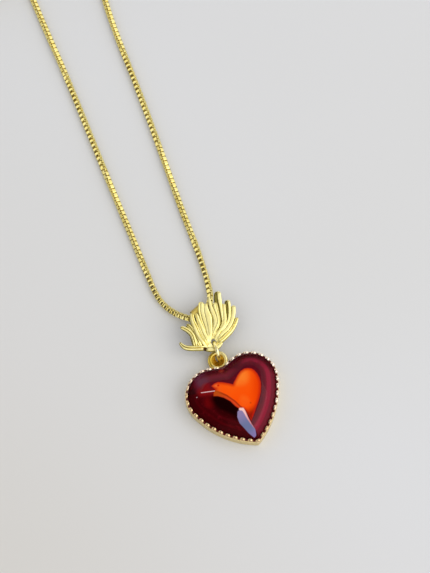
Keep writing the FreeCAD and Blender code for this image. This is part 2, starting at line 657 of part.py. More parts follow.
def clasp_spring():
    """Coil spring across the slot, from its closed side to the lever arm."""
    lean = math.radians(size("lever_lean"))
    outside = size("spring_radius") + size("spring_wire") / 2
    slot_side = size("pin_across") - 2 * size("lever_boss_radius")
    arm_side = (size("pin_across") - size("lever_width") / 2 / math.cos(lean)
                + (size("spring_along") - outside - size("pin_along")) * math.tan(lean))
    end_room = size("spring_gap") + size("spring_wire") / 2
    length = arm_side - slot_side - 2 * end_room
    helix = Part.makeHelix(length / size("spring_turns"), length, size("spring_radius"))
    start = Vector(size("spring_radius"), 0, 0)
    wire = Part.Circle(start, Vector(0, 1, 0), size("spring_wire") / 2)
    coil = Part.Wire(helix).makePipeShell([Part.Wire(wire.toShape())], True, True)
    place = clasp_frame() + Vector(slot_side + end_room, size("spring_along"), size("clasp_thickness") / 2)
    return free_form("clasp_spring", coil, Placement(place, Rotation(Vector(0, 1, 0), 90)))


def all_pieces():
    """Every piece, as a document object that carries its own name."""
    return [
        heart_setting(), heart_stone(), flame(), bail(), jump_ring(),
        chain_run(), chain_coil(), near_end_ring(), far_end_ring(), clasp_link(),
        clasp_body(), clasp_lever(), clasp_pin(), clasp_spring(),
    ]


pieces = all_pieces()
doc.recompute()
for thing in doc.Objects:
    if {"Invalid", "Error"} & set(thing.State):
        raise RuntimeError(f"{thing.Label} failed: {thing.State}")
for piece in pieces:
    if piece.Shape.isNull() or not piece.Shape.isValid():
        raise RuntimeError(f"{piece.Label} has no valid shape")
for piece in pieces:
    piece.Shape.exportStep(f"parts/{piece.Label}.step")
    print(f"{piece.Label}: {len(piece.Shape.Solids)} solid, {piece.Shape.Volume:.3f} mm3")
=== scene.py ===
import math

import bmesh
import bpy
import numpy as np
from mathutils import Matrix, Vector


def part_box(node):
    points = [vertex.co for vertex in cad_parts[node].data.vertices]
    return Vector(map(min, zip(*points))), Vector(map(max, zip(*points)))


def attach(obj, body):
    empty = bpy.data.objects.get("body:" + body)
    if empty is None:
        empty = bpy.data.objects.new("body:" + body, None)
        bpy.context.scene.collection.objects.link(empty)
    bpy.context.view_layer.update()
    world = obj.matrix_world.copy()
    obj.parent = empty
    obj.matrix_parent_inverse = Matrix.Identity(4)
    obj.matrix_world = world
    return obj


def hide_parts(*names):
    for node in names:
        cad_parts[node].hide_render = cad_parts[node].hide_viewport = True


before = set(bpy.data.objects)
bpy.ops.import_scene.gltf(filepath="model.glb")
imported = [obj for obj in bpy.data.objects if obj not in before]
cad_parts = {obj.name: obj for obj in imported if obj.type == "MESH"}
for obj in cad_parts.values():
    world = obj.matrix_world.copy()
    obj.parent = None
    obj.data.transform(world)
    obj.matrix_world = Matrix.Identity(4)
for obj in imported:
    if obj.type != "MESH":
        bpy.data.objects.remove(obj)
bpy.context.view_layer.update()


# Camera. It looks steeply down on the pendant from beyond the heart's tip and a little from its
# left, so near that both runs of chain leave the picture at the top.
CAMERA_AZIMUTH = math.radians(-25.22)
CAMERA_ELEVATION = math.radians(73.0)
CAMERA_DISTANCE = 0.400
CAMERA_AIM = Vector((0.005815, 0.019653, 0.0))
CAMERA_LENS = 133.3


def bearing(azimuth, elevation):
    """Unit vector from the object towards a direction of view; azimuth 0 is on the heart's tip side."""
    flat = math.cos(elevation)
    return Vector((math.sin(azimuth) * flat, -math.cos(azimuth) * flat, math.sin(elevation)))


towards_camera = bearing(CAMERA_AZIMUTH, CAMERA_ELEVATION)
camera_lens = bpy.data.cameras.new("camera")
camera_lens.lens = CAMERA_LENS
camera_lens.sensor_width = 36.0
camera_lens.clip_start = 0.01
camera = bpy.data.objects.new("camera", camera_lens)
camera.location = CAMERA_AIM + towards_camera * CAMERA_DISTANCE
camera.rotation_euler = (-towards_camera).to_track_quat("-Z", "Y").to_euler()
bpy.context.collection.objects.link(camera)
bpy.context.scene.camera = camera
bpy.context.scene.view_settings.view_transform = "Standard"


# Box chain: square links of bent gold-plated strip, each a quarter turn from the last. It runs from
# the clasp's end ring through the bail behind the flame, and the rest is wound into a coil.
CHAIN_WIDTH = 0.001
CHAIN_ROUTE = [
    (0.0122, 0.08949, 0.0011), (0.01205, 0.087, 0.00085), (0.01165, 0.0842, 0.0005), (0.0109, 0.080, 0.0005),
    (0.01015, 0.0735, 0.0005), (0.00955, 0.065, 0.0005), (0.0086, 0.055, 0.0005), (0.0075, 0.045, 0.0005),
    (0.00645, 0.0355, 0.0005), (0.00585, 0.0275, 0.0005), (0.0051, 0.022, 0.0005), (0.0045, 0.0194, 0.00065),
    (0.0040, 0.0176, 0.0009), (0.0025, 0.01595, 0.001), (0.0009, 0.0152, 0.001), (-0.00075, 0.01525, 0.001),
    (-0.00205, 0.01635, 0.00095), (-0.00336, 0.01789, 0.00075), (-0.0044, 0.01994, 0.0005),
    (-0.005, 0.0226, 0.0005), (-0.00475, 0.0275, 0.0005), (-0.0043, 0.0355, 0.0005), (-0.00375, 0.046, 0.0005),
    (-0.003, 0.0575, 0.0005), (-0.0022, 0.070, 0.0005), (-0.00185, 0.081, 0.0005), (-0.00135, 0.0905, 0.0005),
]
COIL_COLUMNS = 2
COIL_LAYERS = 4
COIL_STEPS = 16
COIL_START = math.radians(-18)
LINK_PITCH = 0.000475
LINK_LENGTH = 0.00089
LINK_STRIP = 0.00012
LINK_STRIP_WIDTH = 0.00072
LINK_CORNER = 0.00015
# The links stand on their corners, so they ride this much higher than a round cord would
LINK_LIFT = 0.00009
# Slow twists along the chain: angle, length over which the sine's phase grows by 1, first phase
LINK_TWISTS = ((0.3, 0.0061, 0.0), (0.14, 0.0023, 1.0))


def coil_points():
    """Control points of the coil's turns, outwards and inwards by layers, from the chain's side."""
    low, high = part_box("chain_coil")
    middle = (low + high) / 2
    outer = (high.x - low.x) / 2 - CHAIN_WIDTH / 2
    step = 2 * math.pi / COIL_STEPS
    # A spline of this kind passes inside its points by this share of the radius
    inside = 0.75 + 0.25 * math.cos(step)
    turns = []
    for layer in range(COIL_LAYERS):
        columns = range(COIL_COLUMNS) if layer % 2 == 0 else reversed(range(COIL_COLUMNS))
        turns += [(outer - column * CHAIN_WIDTH, CHAIN_WIDTH * (layer + 0.5)) for column in columns]
    points = []
    for index, (radius, height) in enumerate(turns):
        last_turn = index == len(turns) - 1
        next_radius, next_height = turns[index] if last_turn else turns[index + 1]
        count = COIL_STEPS + 1 if last_turn else COIL_STEPS
        for place in range(count):
            onward = max(0.0, (place - COIL_STEPS + 4) / 4)
            reach = (radius + (next_radius - radius) * onward) / inside
            angle = COIL_START + step * place
            points.append((middle.x + reach * math.cos(angle), middle.y + reach * math.sin(angle),
                           height + (next_height - height) * onward))
    return points


def chain_line(points):
    """Smooth line along the route, as the close points that Blender gives for it."""
    curve = bpy.data.curves.new("chain_line", "CURVE")
    curve.dimensions = "3D"
    curve.resolution_u = 24
    spline = curve.splines.new("NURBS")
    spline.points.add(len(points) - 1)
    for control, point in zip(spline.points, points):
        control.co = (*point, 1.0)
    spline.order_u = 3
    spline.use_endpoint_u = True
    holder = bpy.data.objects.new("chain_line", curve)
    line = bpy.data.meshes.new_from_object(holder)
    places = np.array([vertex.co[:] for vertex in line.vertices])
    bpy.data.objects.remove(holder)
    return places


def link_outline():
    """Rounded rectangle of one link, along and across the chain, to the middle of its strip."""
    half_along = LINK_LENGTH / 2 - LINK_STRIP / 2
    half_across = CHAIN_WIDTH / 2 - LINK_STRIP / 2
    outline = []
    for quarter in range(4):
        sign_along, sign_across = ((1, 1), (-1, 1), (-1, -1), (1, -1))[quarter]
        for share in (0.0, 0.5, 1.0):
            angle = math.pi / 2 * (quarter + share)
            outward = (math.cos(angle), math.sin(angle))
            outline.append((sign_along * (half_along - LINK_CORNER) + LINK_CORNER * outward[0],
                            sign_across * (half_across - LINK_CORNER) + LINK_CORNER * outward[1], outward))
    return outline


def link_template():
    """Vertices (along, across, sideways) and faces of one link."""
    half_wide, half_thick, chamfer = LINK_STRIP_WIDTH / 2, LINK_STRIP / 2, 0.3 * LINK_STRIP
    section = [(half_thick, 0.0), (half_thick - chamfer / 2, half_wide - chamfer), (0.0, half_wide),
               (-half_thick, half_wide - chamfer), (-half_thick, chamfer - half_wide), (0.0, -half_wide),
               (half_thick - chamfer / 2, chamfer - half_wide)]
    outline = link_outline()
    vertices = [(along + out * outward[0], across + out * outward[1], side)
                for along, across, outward in outline for out, side in section]
    faces = []
    for ring in range(len(outline)):
        for corner in range(len(section)):
            here, beside = corner, (corner + 1) % len(section)
            near, far = ring * len(section), (ring + 1) % len(outline) * len(section)
            faces.append((near + here, far + here, far + beside, near + beside))
    return np.array(vertices), np.array(faces)


def build_mesh(name, vertices, faces, sharp_angle=35):
    """Object from plain vertices and faces, shaded smooth up to an angle in degrees."""
    mesh = bpy.data.meshes.new(name)
    mesh.from_pydata([tuple(map(float, vertex)) for vertex in vertices], [],
                     [tuple(map(int, face)) for face in faces])
    mesh.validate()
    mesh.shade_smooth()
    mesh.set_sharp_from_angle(angle=math.radians(sharp_angle))
    made = bpy.data.objects.new(name, mesh)
    bpy.context.collection.objects.link(made)
    return made


def thread_links(line):
    """All links along the line, with a slow twist, as one piece."""
    steps = np.linalg.norm(np.diff(line, axis=0), axis=1)
    passed = np.concatenate([[0.0], np.cumsum(steps)])
    count = int(passed[-1] / LINK_PITCH)
    at = (np.arange(count) + 0.5) * passed[-1] / count
    centres = np.stack([np.interp(at, passed, line[:, axis]) for axis in range(3)], axis=1)
    centres[:, 2] += LINK_LIFT
    ahead = np.stack([np.interp(at + LINK_PITCH, passed, line[:, axis]) for axis in range(3)], axis=1)
    behind = np.stack([np.interp(at - LINK_PITCH, passed, line[:, axis]) for axis in range(3)], axis=1)
    along = ahead - behind
    along /= np.linalg.norm(along, axis=1)[:, None]
    level = np.cross(np.array([0.0, 0.0, 1.0]), along)
    level /= np.linalg.norm(level, axis=1)[:, None]
    upright = np.cross(along, level)
    twist = math.radians(45) + np.where(np.arange(count) % 2 == 0, 0.0, math.pi / 2)
    for angle, length, phase in LINK_TWISTS:
        twist += angle * np.sin(at / length + phase)
    across = level * np.cos(twist)[:, None] + upright * np.sin(twist)[:, None]
    side = np.cross(along, across)
    template, faces = link_template()
    vertices = (centres[:, None, :] + template[None, :, 0:1] * along[:, None, :]
                + template[None, :, 1:2] * across[:, None, :] + template[None, :, 2:3] * side[:, None, :])
    offsets = np.arange(count) * len(template)
    return build_mesh("chain", vertices.reshape(-1, 3), (faces[None] + offsets[:, None, None]).reshape(-1, 4))


class Shade:
    """A node's output for use in Python expressions: sums and products add Math nodes."""

    def __init__(self, tree, output=None):
        self.tree = tree
        self.output = output

    def node(self, kind, settings=None, inputs=None, output=0):
        """Adds a node, sets it up, feeds its sockets and gives the wanted output."""
        made = self.tree.nodes.new(kind)
        for name, setting in (settings or {}).items():
            setattr(made, name, setting)
        for key, value in (inputs or {}).items():
            if isinstance(value, Shade):
                self.tree.links.new(value.output, made.inputs[key])
            else:
                made.inputs[key].default_value = value
        return Shade(self.tree, made.outputs[output] if made.outputs else None)

    def maths(self, operation, *values):
        """A Math node on plain numbers or other outputs."""
        return self.node("ShaderNodeMath", {"operation": operation}, dict(enumerate(values)))

    def __add__(self, other):
        return self.maths("ADD", self, other)

    def __sub__(self, other):
        return self.maths("SUBTRACT", self, other)

    def __rsub__(self, other):
        return self.maths("SUBTRACT", other, self)

    def __mul__(self, other):
        return self.maths("MULTIPLY", self, other)

    def __pow__(self, other):
        return self.maths("POWER", self, other)

    __radd__ = __add__
    __rmul__ = __mul__

    def ease(self, start, end):
        """0 before start and 1 after end, with a smooth rise between them."""
        return self.node("ShaderNodeMapRange", {"interpolation_type": "SMOOTHSTEP"},
                         {"Value": self, "From Min": start, "From Max": end})

    def blend(self, first, second):
        """Colour between first, at 0, and second, at 1."""
        colours = [colour if isinstance(colour, Shade) else (*colour, 1.0) for colour in (first, second)]
        return self.node("ShaderNodeMix", {"data_type": "RGBA"}, {0: self, 6: colours[0], 7: colours[1]}, 2)

    def place(self):
        """Position on the object, in millimetres, as three separate outputs."""
        spot = self.node("ShaderNodeTexCoord", output=3)
        split = self.node("ShaderNodeSeparateXYZ", inputs={0: spot})
        return [Shade(self.tree, output) * 1000.0 for output in split.output.node.outputs]

    def layer(self, name):
        """A number that the mesh carries at its points."""
        return self.node("ShaderNodeAttribute", {"attribute_name": name}, output=2)

    def noise(self, per_millimetre, detail=2.0):
        """Cloudy pattern between 0 and 1, fixed to the object."""
        spot = self.node("ShaderNodeTexCoord", output=3)
        return self.node("ShaderNodeTexNoise", None,
                         {"Vector": spot, "Scale": per_millimetre * 1000.0, "Detail": detail})


def surface(name, varied, fixed):
    """Material with one Principled shader; varied gives, for a Shade, what changes over the surface."""
    material = bpy.data.materials.new(name)
    material.use_nodes = True
    tree = material.node_tree
    tree.nodes.clear()
    shade = Shade(tree)
    sockets = dict(fixed)
    sockets.update(varied(shade))
    shader = shade.node("ShaderNodeBsdfPrincipled", None, sockets)
    shade.node("ShaderNodeOutputMaterial", None, {"Surface": shader})
    return material


POLISH_DEPTH = 0.00001


def plate_finish(shade, roughness, strength=0.35):
    """Sockets for fine polishing marks: uneven gloss and a faint bump."""
    grain = shade.noise(9.0, 4.0)
    bump = shade.node("ShaderNodeBump", None, {"Height": grain, "Strength": strength, "Distance": POLISH_DEPTH})
    return {"Roughness": roughness * (0.8 + 0.4 * grain), "Normal": bump}


def cloudy(shade, deep, pale):
    """Tone of gold plate that drifts between two colours."""
    return shade.noise(0.9).ease(0.3, 0.75).blend(deep, pale)


def gold(name, pale, deep, roughness):
    """Gold-plated material without any other colours on it."""

    def varied(shade):
        return {"Base Color": cloudy(shade, deep, pale), **plate_finish(shade, roughness)}

    return surface(name, varied, {"Metallic": 1.0})


chain_path = chain_line(CHAIN_ROUTE + coil_points())
chain = thread_links(chain_path)
chain.data.materials.append(gold("chain_gold", (0.95, 0.83, 0.33), (0.88, 0.73, 0.22), 0.2))
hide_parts("chain_run", "chain_coil")
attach(chain, "flame")


# Table: a pale surface under everything, with the room's soft light and a painted shade that makes it darker
# and warmer towards the left. The light is even and bright, a little stronger from the right, and one dim part
# of the room is mirrored in the stone.
FLOOR_SIZE = 3.0
FLOOR_GAP = 0.00001
FLOOR_TONES = ((0.735, 0.733, 0.725), (0.752, 0.754, 0.760))
FLOOR_SHADED_LEFT = (0.690, 0.665, 0.620)
LAMP_SIZE = 0.8
LAMP_DISTANCE = 0.9
LAMP_POWER = 3.0
ROOM_LIGHT = (0.74, 0.745, 0.76)
ROOM_MIRRORED = (1.15, 1.15, 1.17)
DIM_MIRRORED = (0.07, 0.06, 0.07)


def varied_floor(shade):
    """Pale grey with a faint mottle, and painted shade: darker and warmer on the left."""
    x, y, _ = shade.place()
    mottle = shade.noise(0.012, 1.0).ease(0.3, 0.7).blend(*FLOOR_TONES)
    leftwards = -0.94 * x - 0.35 * y
    return {"Base Color": leftwards.ease(-20.0, 80.0).blend(mottle, FLOOR_SHADED_LEFT)}


floor = build_mesh("floor", [(-FLOOR_SIZE, -FLOOR_SIZE, 0), (FLOOR_SIZE, -FLOOR_SIZE, 0),
                             (FLOOR_SIZE, FLOOR_SIZE, 0), (-FLOOR_SIZE, FLOOR_SIZE, 0)], [(0, 1, 2, 3)])
floor.location.z = -FLOOR_GAP
floor.data.materials.append(surface("pale_table", varied_floor, {"Roughness": 0.6, "Specular IOR Level": 0.2}))

lamp = bpy.data.lights.new("window", "AREA")
lamp.shape = "RECTANGLE"
lamp.size = LAMP_SIZE
lamp.size_y = LAMP_SIZE
lamp.energy = LAMP_POWER
lamp.color = (1.0, 0.98, 0.95)
lamp_holder = bpy.data.objects.new("window", lamp)
towards_lamp = bearing(math.radians(50), math.radians(45))
lamp_holder.location = towards_lamp * LAMP_DISTANCE
lamp_holder.rotation_euler = towards_lamp.to_track_quat("Z", "Y").to_euler()
bpy.context.collection.objects.link(lamp_holder)

world = bpy.data.worlds.new("room")
bpy.context.scene.world = world
world.use_nodes = True
world.node_tree.nodes.clear()
sky = Shade(world.node_tree)
# The dim part is bounded by two slanting coordinates of the mirrored direction
direction_parts = sky.node("ShaderNodeSeparateXYZ", inputs={0: sky.node("ShaderNodeTexCoord", output=0)})
sky_x, sky_y, sky_z = [Shade(world.node_tree, output) for output in direction_parts.output.node.outputs]
dim_across = 0.443 * sky_x - 0.877 * sky_y + 0.185 * sky_z
dim_up = 0.929 * sky_z - 0.371 * sky_x
dim = dim_up.ease(0.45, 0.67) * dim_across.ease(-0.55, -0.40) * (1.0 - dim_across.ease(0.14, 0.30))
mirrored = dim.blend(ROOM_MIRRORED, DIM_MIRRORED)
is_mirrored = sky.node("ShaderNodeLightPath", output="Is Glossy Ray")
sky_colour = is_mirrored.blend(ROOM_LIGHT, mirrored)
background = sky.node("ShaderNodeBackground", None, {"Color": sky_colour, "Strength": 1.0})
sky.node("ShaderNodeOutputWorld", None, {"Surface": background})


# Heart setting: a shallow cast cup with a flat back and a gallery of pierced round scallops round
# its rim, one at the tip, all gold-plated, and a hanging loop soldered into the notch.
LOBE_CENTRE = Vector((0.00372, 0.0))
LOBE_RADIUS = 0.00494
SIDE_RADIUS = 0.01637
CROWN_RADIUS = 0.0434
SIDE_TURN = math.radians(-18.3)
CROWN_TURN = math.radians(104.4)
OUTLINE_STEPS = (56, 40, 30)
WALL_OUTSET = 0.0003
WALL_TOP = 0.0023
WALL_SOFT = 0.00006
RIM_OUTSET = 0.0002
RIM_INSET = 0.00025
RIM_SOFT = 0.00006
RIM_BELOW_SCALLOPS = 0.00014
CUP_FLOOR = 0.0006
SCALLOP_HEIGHT = 0.00275
SCALLOP_RADIUS = 0.0005
SCALLOP_HOLE = 0.00026
SCALLOP_THICKNESS = 0.00042
SCALLOP_SHIFT = 0.00004
SCALLOP_SOFT = 0.00009
SCALLOP_SQUARENESS = 2.3
SCALLOP_PITCH = 0.0014
SCALLOPS_A_SIDE = 18
HANGING_LOOP = (0.0, 0.00605, 0.0012)
HANGING_LOOP_RADIUS = 0.00146
HANGING_LOOP_WIRE = 0.0004
HANGING_LOOP_DROP = 0.0007
HANGING_LOOP_INWARD = 0.00105
HANGING_LOOP_TOP = math.radians(60)


def flat_direction(angle):
    """Unit vector in the plane, at an angle from X."""
    return Vector((math.cos(angle), math.sin(angle)))


def heart_arcs(outset):
    """Centre, radius, first and last angle of the right half's arcs, from tip to notch."""
    side = LOBE_CENTRE + flat_direction(SIDE_TURN) * (LOBE_RADIUS - SIDE_RADIUS)
    crown = LOBE_CENTRE + flat_direction(CROWN_TURN) * (LOBE_RADIUS - CROWN_RADIUS)
    tip_angle = -math.acos(-side.x / (SIDE_RADIUS + outset))
    notch_angle = math.acos(-crown.x / (CROWN_RADIUS + outset))
    return [(side, SIDE_RADIUS + outset, tip_angle, SIDE_TURN),
            (LOBE_CENTRE, LOBE_RADIUS + outset, SIDE_TURN, CROWN_TURN),
            (crown, CROWN_RADIUS + outset, CROWN_TURN, notch_angle)]


def half_outline(outset, arc_steps):
    """Points of the right half from tip to notch, with the wanted steps on each arc."""
    points = []
    for (centre, radius, first, last), steps in zip(heart_arcs(outset), arc_steps):
        points += [centre + flat_direction(first + (last - first) * step / steps) * radius
                   for step in range(steps)]
    centre, radius, _, last = heart_arcs(outset)[2]
    return points + [centre + flat_direction(last) * radius]


def whole_outline(outset, arc_steps):
    """Closed outline, from the tip up the right side and down the left."""
    right = half_outline(outset, arc_steps)
    return right + [Vector((-point.x, point.y)) for point in reversed(right[1:-1])]


def stack_rings(rings):
    """Faces between rings of equally many vertices, each ring a closed loop."""
    count = len(rings[0])
    vertices = [vertex for ring in rings for vertex in ring]
    faces = []
    for level in range(len(rings) - 1):
        for index in range(count):
            beside = (index + 1) % count
            faces.append((level * count + index, level * count + beside,
                          (level + 1) * count + beside, (level + 1) * count + index))
    return vertices, faces


def close_ends(vertices, faces, count):
    """Adds the two end faces to a stack of rings with this many vertices each."""
    faces.append(tuple(reversed(range(count))))
    faces.append(tuple(range(len(vertices) - count, len(vertices))))
    return vertices, faces


def cup_mesh():
    """Cup: its section follows the outline, and its floor and back are closed."""
    rim_top = SCALLOP_HEIGHT - RIM_BELOW_SCALLOPS
    section = [(WALL_OUTSET - WALL_SOFT, 0.0), (WALL_OUTSET, WALL_SOFT), (WALL_OUTSET, WALL_TOP - WALL_SOFT),
               (WALL_OUTSET - WALL_SOFT, WALL_TOP), (RIM_OUTSET, WALL_TOP), (RIM_OUTSET, rim_top - RIM_SOFT),
               (RIM_OUTSET - RIM_SOFT, rim_top), (RIM_SOFT - RIM_OUTSET, rim_top),
               (-RIM_INSET, rim_top - RIM_SOFT), (-RIM_INSET, CUP_FLOOR)]
    rings = [[(point.x, point.y, height) for point in whole_outline(outset, OUTLINE_STEPS)]
             for outset, height in section]
    return close_ends(*stack_rings(rings), len(rings[0]))


def scallop_places():
    """Points on the scallop line, a pitch apart from the tip, with their outward normals."""
    side, radius, tip_angle, _ = heart_arcs(0)[0]
    places = [(side + flat_direction(tip_angle) * radius, Vector((0, -1)))]
    passed, index = 0.0, 1
    for centre, radius, first, last in heart_arcs(0):
        length = radius * (last - first)
        while index <= SCALLOPS_A_SIDE and index * SCALLOP_PITCH <= passed + length:
            outward = flat_direction(first + (index * SCALLOP_PITCH - passed) / radius)
            point = centre + outward * radius
            places += [(point, outward), (Vector((-point.x, point.y)), Vector((-outward.x, outward.y)))]
            index += 1
        passed += length
    return places


def scallop_mesh(point, outward, steps=24):
    """One pierced disc on edge with rounded rims; its axis points outwards."""
    half, soft, softer = SCALLOP_THICKNESS / 2, SCALLOP_SOFT, 0.3 * SCALLOP_SOFT
    section = [(SCALLOP_HOLE, -half + soft), (SCALLOP_HOLE + soft, -half), (SCALLOP_RADIUS - soft, -half),
               (SCALLOP_RADIUS - softer, -half + softer), (SCALLOP_RADIUS, -half + soft),
               (SCALLOP_RADIUS, half - soft), (SCALLOP_RADIUS - softer, half - softer),
               (SCALLOP_RADIUS - soft, half), (SCALLOP_HOLE + soft, half), (SCALLOP_HOLE, half - soft)]
    beside = Vector((-outward.y, outward.x))
    power = SCALLOP_SQUARENESS
    rings = []
    for reach, depth in section + section[:1]:
        ring = []
        for step in range(steps):
            angle = 2 * math.pi * step / steps
            full = reach / (abs(math.cos(angle)) ** power + abs(math.sin(angle)) ** power) ** (1 / power)
            flat = point + outward * (depth + SCALLOP_SHIFT) + beside * full * math.cos(angle)
            ring.append((flat.x, flat.y, SCALLOP_HEIGHT + full * math.sin(angle)))
        rings.append(ring)
    return stack_rings(rings)


def join_meshes(parts):
    """Vertices and faces of several parts as one list each."""
    vertices, faces = [], []
    for part_vertices, part_faces in parts:
        start = len(vertices)
        vertices += [tuple(vertex) for vertex in part_vertices]
        faces += [tuple(start + index for index in face) for face in part_faces]
    return vertices, faces


def weld(made, distance=0.000002):
    """Merges doubled vertices and makes all faces point outwards."""
    work = bmesh.new()
    work.from_mesh(made.data)
    bmesh.ops.remove_doubles(work, verts=work.verts, dist=distance)
    bmesh.ops.recalc_face_normals(work, faces=work.faces)
    work.to_mesh(made.data)
    work.free()
    return made


def add_layer(made, name, values):
    """Gives the mesh one number at each point, for its material."""
    layer = made.data.attributes.new(name, "FLOAT", "POINT")
    layer.data.foreach_set("value", np.asarray(values, dtype=float).tolist())


def setting_colours(shade):
    """Rosy scallops and yellower wall and loop, with painted shade on the lower left scallops and on the loop;
    dark red glass on the rim between the scallops, partly painted shade in the gaps.
    """
    x, y, z = shade.place()
    loop_y = y - 1000.0 * HANGING_LOOP[1]
    # Dark red of the glass on the rim, which also stands as painted shade in the gaps between the scallops
    glass_and_shade = shade.layer("glass_and_shade").ease(0.35, 0.65)
    rosy = cloudy(shade, (0.97, 0.78, 0.60), (1.0, 0.87, 0.73))
    # Painted shade: the scallops turn darker, deeper gold towards the lower left
    rosy = (0.9 * x + y).ease(-6.0, 0.0).blend((0.74, 0.53, 0.28), rosy)
    gilt = shade.layer("scallop").blend((0.76, 0.62, 0.30), rosy)
    from_loop = (x ** 2.0 + loop_y ** 2.0) ** 0.5
    # Painted shade: the loop is dark brown on its inner side and low down, and ochre on its left
    loop_inner_shade = (1.0 - from_loop.ease(0.95, 1.4)) + (1.0 - z.ease(0.5, 1.35)) * 0.6
    loop_gold = loop_inner_shade.ease(0.0, 0.8).blend((0.96, 0.82, 0.36), (0.66, 0.42, 0.05))
    loop_gold = (-1.0 * x + 0.6 * loop_y).ease(0.6, 1.5).blend(loop_gold, (0.76, 0.54, 0.08))
    gilt = from_loop.ease(1.85, 1.95).blend(loop_gold, gilt)
    finish = plate_finish(shade, 0.38, 0.3)
    finish["Roughness"] = finish["Roughness"] - 0.2 * glass_and_shade
    return {"Base Color": glass_and_shade.blend(gilt, (0.13, 0.007, 0.010)), "Metallic": 1.0 - glass_and_shade, **finish}


def loop_mesh(steps=96, wire_steps=20):
    """Hanging loop: its sides reach down to the back, and its top is a round wire for the jump ring."""
    rings = []
    for step in range(steps + 1):
        angle = 2 * math.pi * step / steps
        from_top = abs(math.atan2(math.cos(angle), math.sin(angle)))
        low_share = min(from_top / HANGING_LOOP_TOP, 1.0)
        drop = HANGING_LOOP_DROP * low_share * low_share * (3 - 2 * low_share)
        ring = []
        for corner in range(wire_steps):
            turn = 2 * math.pi * corner / wire_steps
            rise = HANGING_LOOP_WIRE * math.sin(turn) - (drop if math.sin(turn) < 0 else 0.0)
            reach = HANGING_LOOP_RADIUS + HANGING_LOOP_WIRE * math.cos(turn)
            if math.cos(turn) < 0 and math.sin(turn) < 0:
                reach -= HANGING_LOOP_INWARD * low_share
            ring.append((HANGING_LOOP[0] + reach * math.cos(angle), HANGING_LOOP[1] + reach * math.sin(angle),
                         HANGING_LOOP[2] + rise))
        rings.append(ring)
    return stack_rings(rings)


setting_parts = [cup_mesh()] + [scallop_mesh(point, outward) for point, outward in scallop_places()]
setting_parts.append(loop_mesh())
cup_count = len(setting_parts[0][0])
setting = build_mesh("setting", *join_meshes(setting_parts))
in_cup = np.arange(len(setting.data.vertices)) < cup_count
above_wall = np.array([vertex.co.z > WALL_TOP + WALL_SOFT for vertex in setting.data.vertices])
# The rim above the wall takes the glass colour, also a painted shade between the scallops
add_layer(setting, "glass_and_shade", in_cup & above_wall)
add_layer(setting, "scallop", ~in_cup)
weld(setting)
setting.data.materials.append(surface("setting_gold", setting_colours, {}))
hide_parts("heart_setting")
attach(setting, "heart")


# Stone: one piece of polished red glass, domed over its bevel to a raised inner heart. The inner
# heart is orange foil seen through the top. Its lower left side is painted dark red and black as painted shade,
# and the glass carries painted glows, a painted window reflection and painted highlights.
STONE_FOOT = 0.00065
GIRDLE_TOP = 0.00285
GIRDLE_SOFT = 0.00005
TABLE_TOP = 0.00475
GIRDLE_INSET = 0.0003
TABLE_INSET = 0.0031
BEVEL_POWER = 1.6
BEVEL_RINGS = 20
TABLE_RINGS = 16
TABLE_MIDDLE = Vector((0.0, -0.0015))
TABLE_DEPTH = 0.0018
STONE_STEPS = (60, 44, 52)

# Shapes that are seen in the glass, in millimetres at this height: closed outlines, then open lines. The dark
# side and the black crescent are painted shade, the window is a painted reflection, and the glint, streak and
# dot are painted highlights.
SEEN_HEIGHT = 4.4
SEEN_LEAN = (-0.13, -0.277)
FOIL_UNDERSIDE = [
    (-3.96, -0.45), (-3.24, -0.79), (-2.39, -1.5), (-1.57, -2.62), (-1.14, -3.86), (-0.76, -4.48),
    (-0.03, -5.08), (0.33, -6.46)]
SEEN_SHAPES = {
    "orange": [
        (-3.54, 1.44), (-2.85, 1.64), (-2.1, 1.63), (-1.42, 1.28), (-0.4, 0.57), (0.24, 0.05), (0.64, 0.43),
        (1.02, 0.69), (1.7, 1.24), (2.53, 1.73), (3.36, 1.87), (4.04, 1.69), (4.62, 1.31), (4.96, 0.76),
        (5.17, -0.04), (5.18, -0.92), (5.04, -1.73), (4.74, -2.46), (4.22, -3.43), (3.54, -4.33),
        (2.88, -5.06), (2.17, -5.77), (1.49, -6.49), (0.88, -7.07), (0.27, -7.64),
        *reversed(FOIL_UNDERSIDE), (-3.66, 0.11), (-3.12, 0.55)],
    "bright": [
        (-3.54, 2.44), (-0.4, 2.57), (0.24, 1.05), (1.7, 2.24), (3.36, 2.87), (6.96, 0.76), (6.18, -1.92),
        (3.54, -6.33), (0.88, -8.07), (0.62, -6.6), (0.25, -5.3), (-0.31, -4.25), (-0.74, -3.01),
        (-1.65, -1.36), (-2.73, -0.07), (-3.5, 0.75)],
    "dark_side": [
        (-9.5, 1.9), (-5.74, 1.08), (-4.2, 0.5), (-3.9, 0.0), *FOIL_UNDERSIDE, (0.27, -7.64), (0.35, -9.4),
        (0.2, -13.0), (-10.0, -6.0)],
    "black": [
        *FOIL_UNDERSIDE[:6], (-1.2, -4.87), (-1.75, -6.0), (-2.2, -5.2), (-3.0, -4.2), (-3.9, -3.2),
        (-4.4, -2.0), (-4.4, -1.0)],
    "window": [
        (-0.58, -4.82), (-1.2, -4.87), (-1.71, -5.85), (-1.83, -7.09), (-1.51, -8.19), (-1.15, -9.56),
        (-0.59, -10.86), (-0.05, -10.6), (0.3, -9.41), (-0.06, -7.55), (-0.2, -6.08), (-0.18, -5.2)],
}
SEEN_LINES = {
    "glint": [(-0.6, -4.75), (-0.15, -4.95), (-0.08, -5.6), (-0.08, -6.7), (0.04, -8.0), (0.24, -9.2)],
    "highlight_streak": [(-5.74, 1.08), (-4.76, 0.78), (-4.08, 0.57), (-3.38, 0.35)],
    "highlight_dot": [(-6.90, 0.56), (-6.82, 0.60)],
}
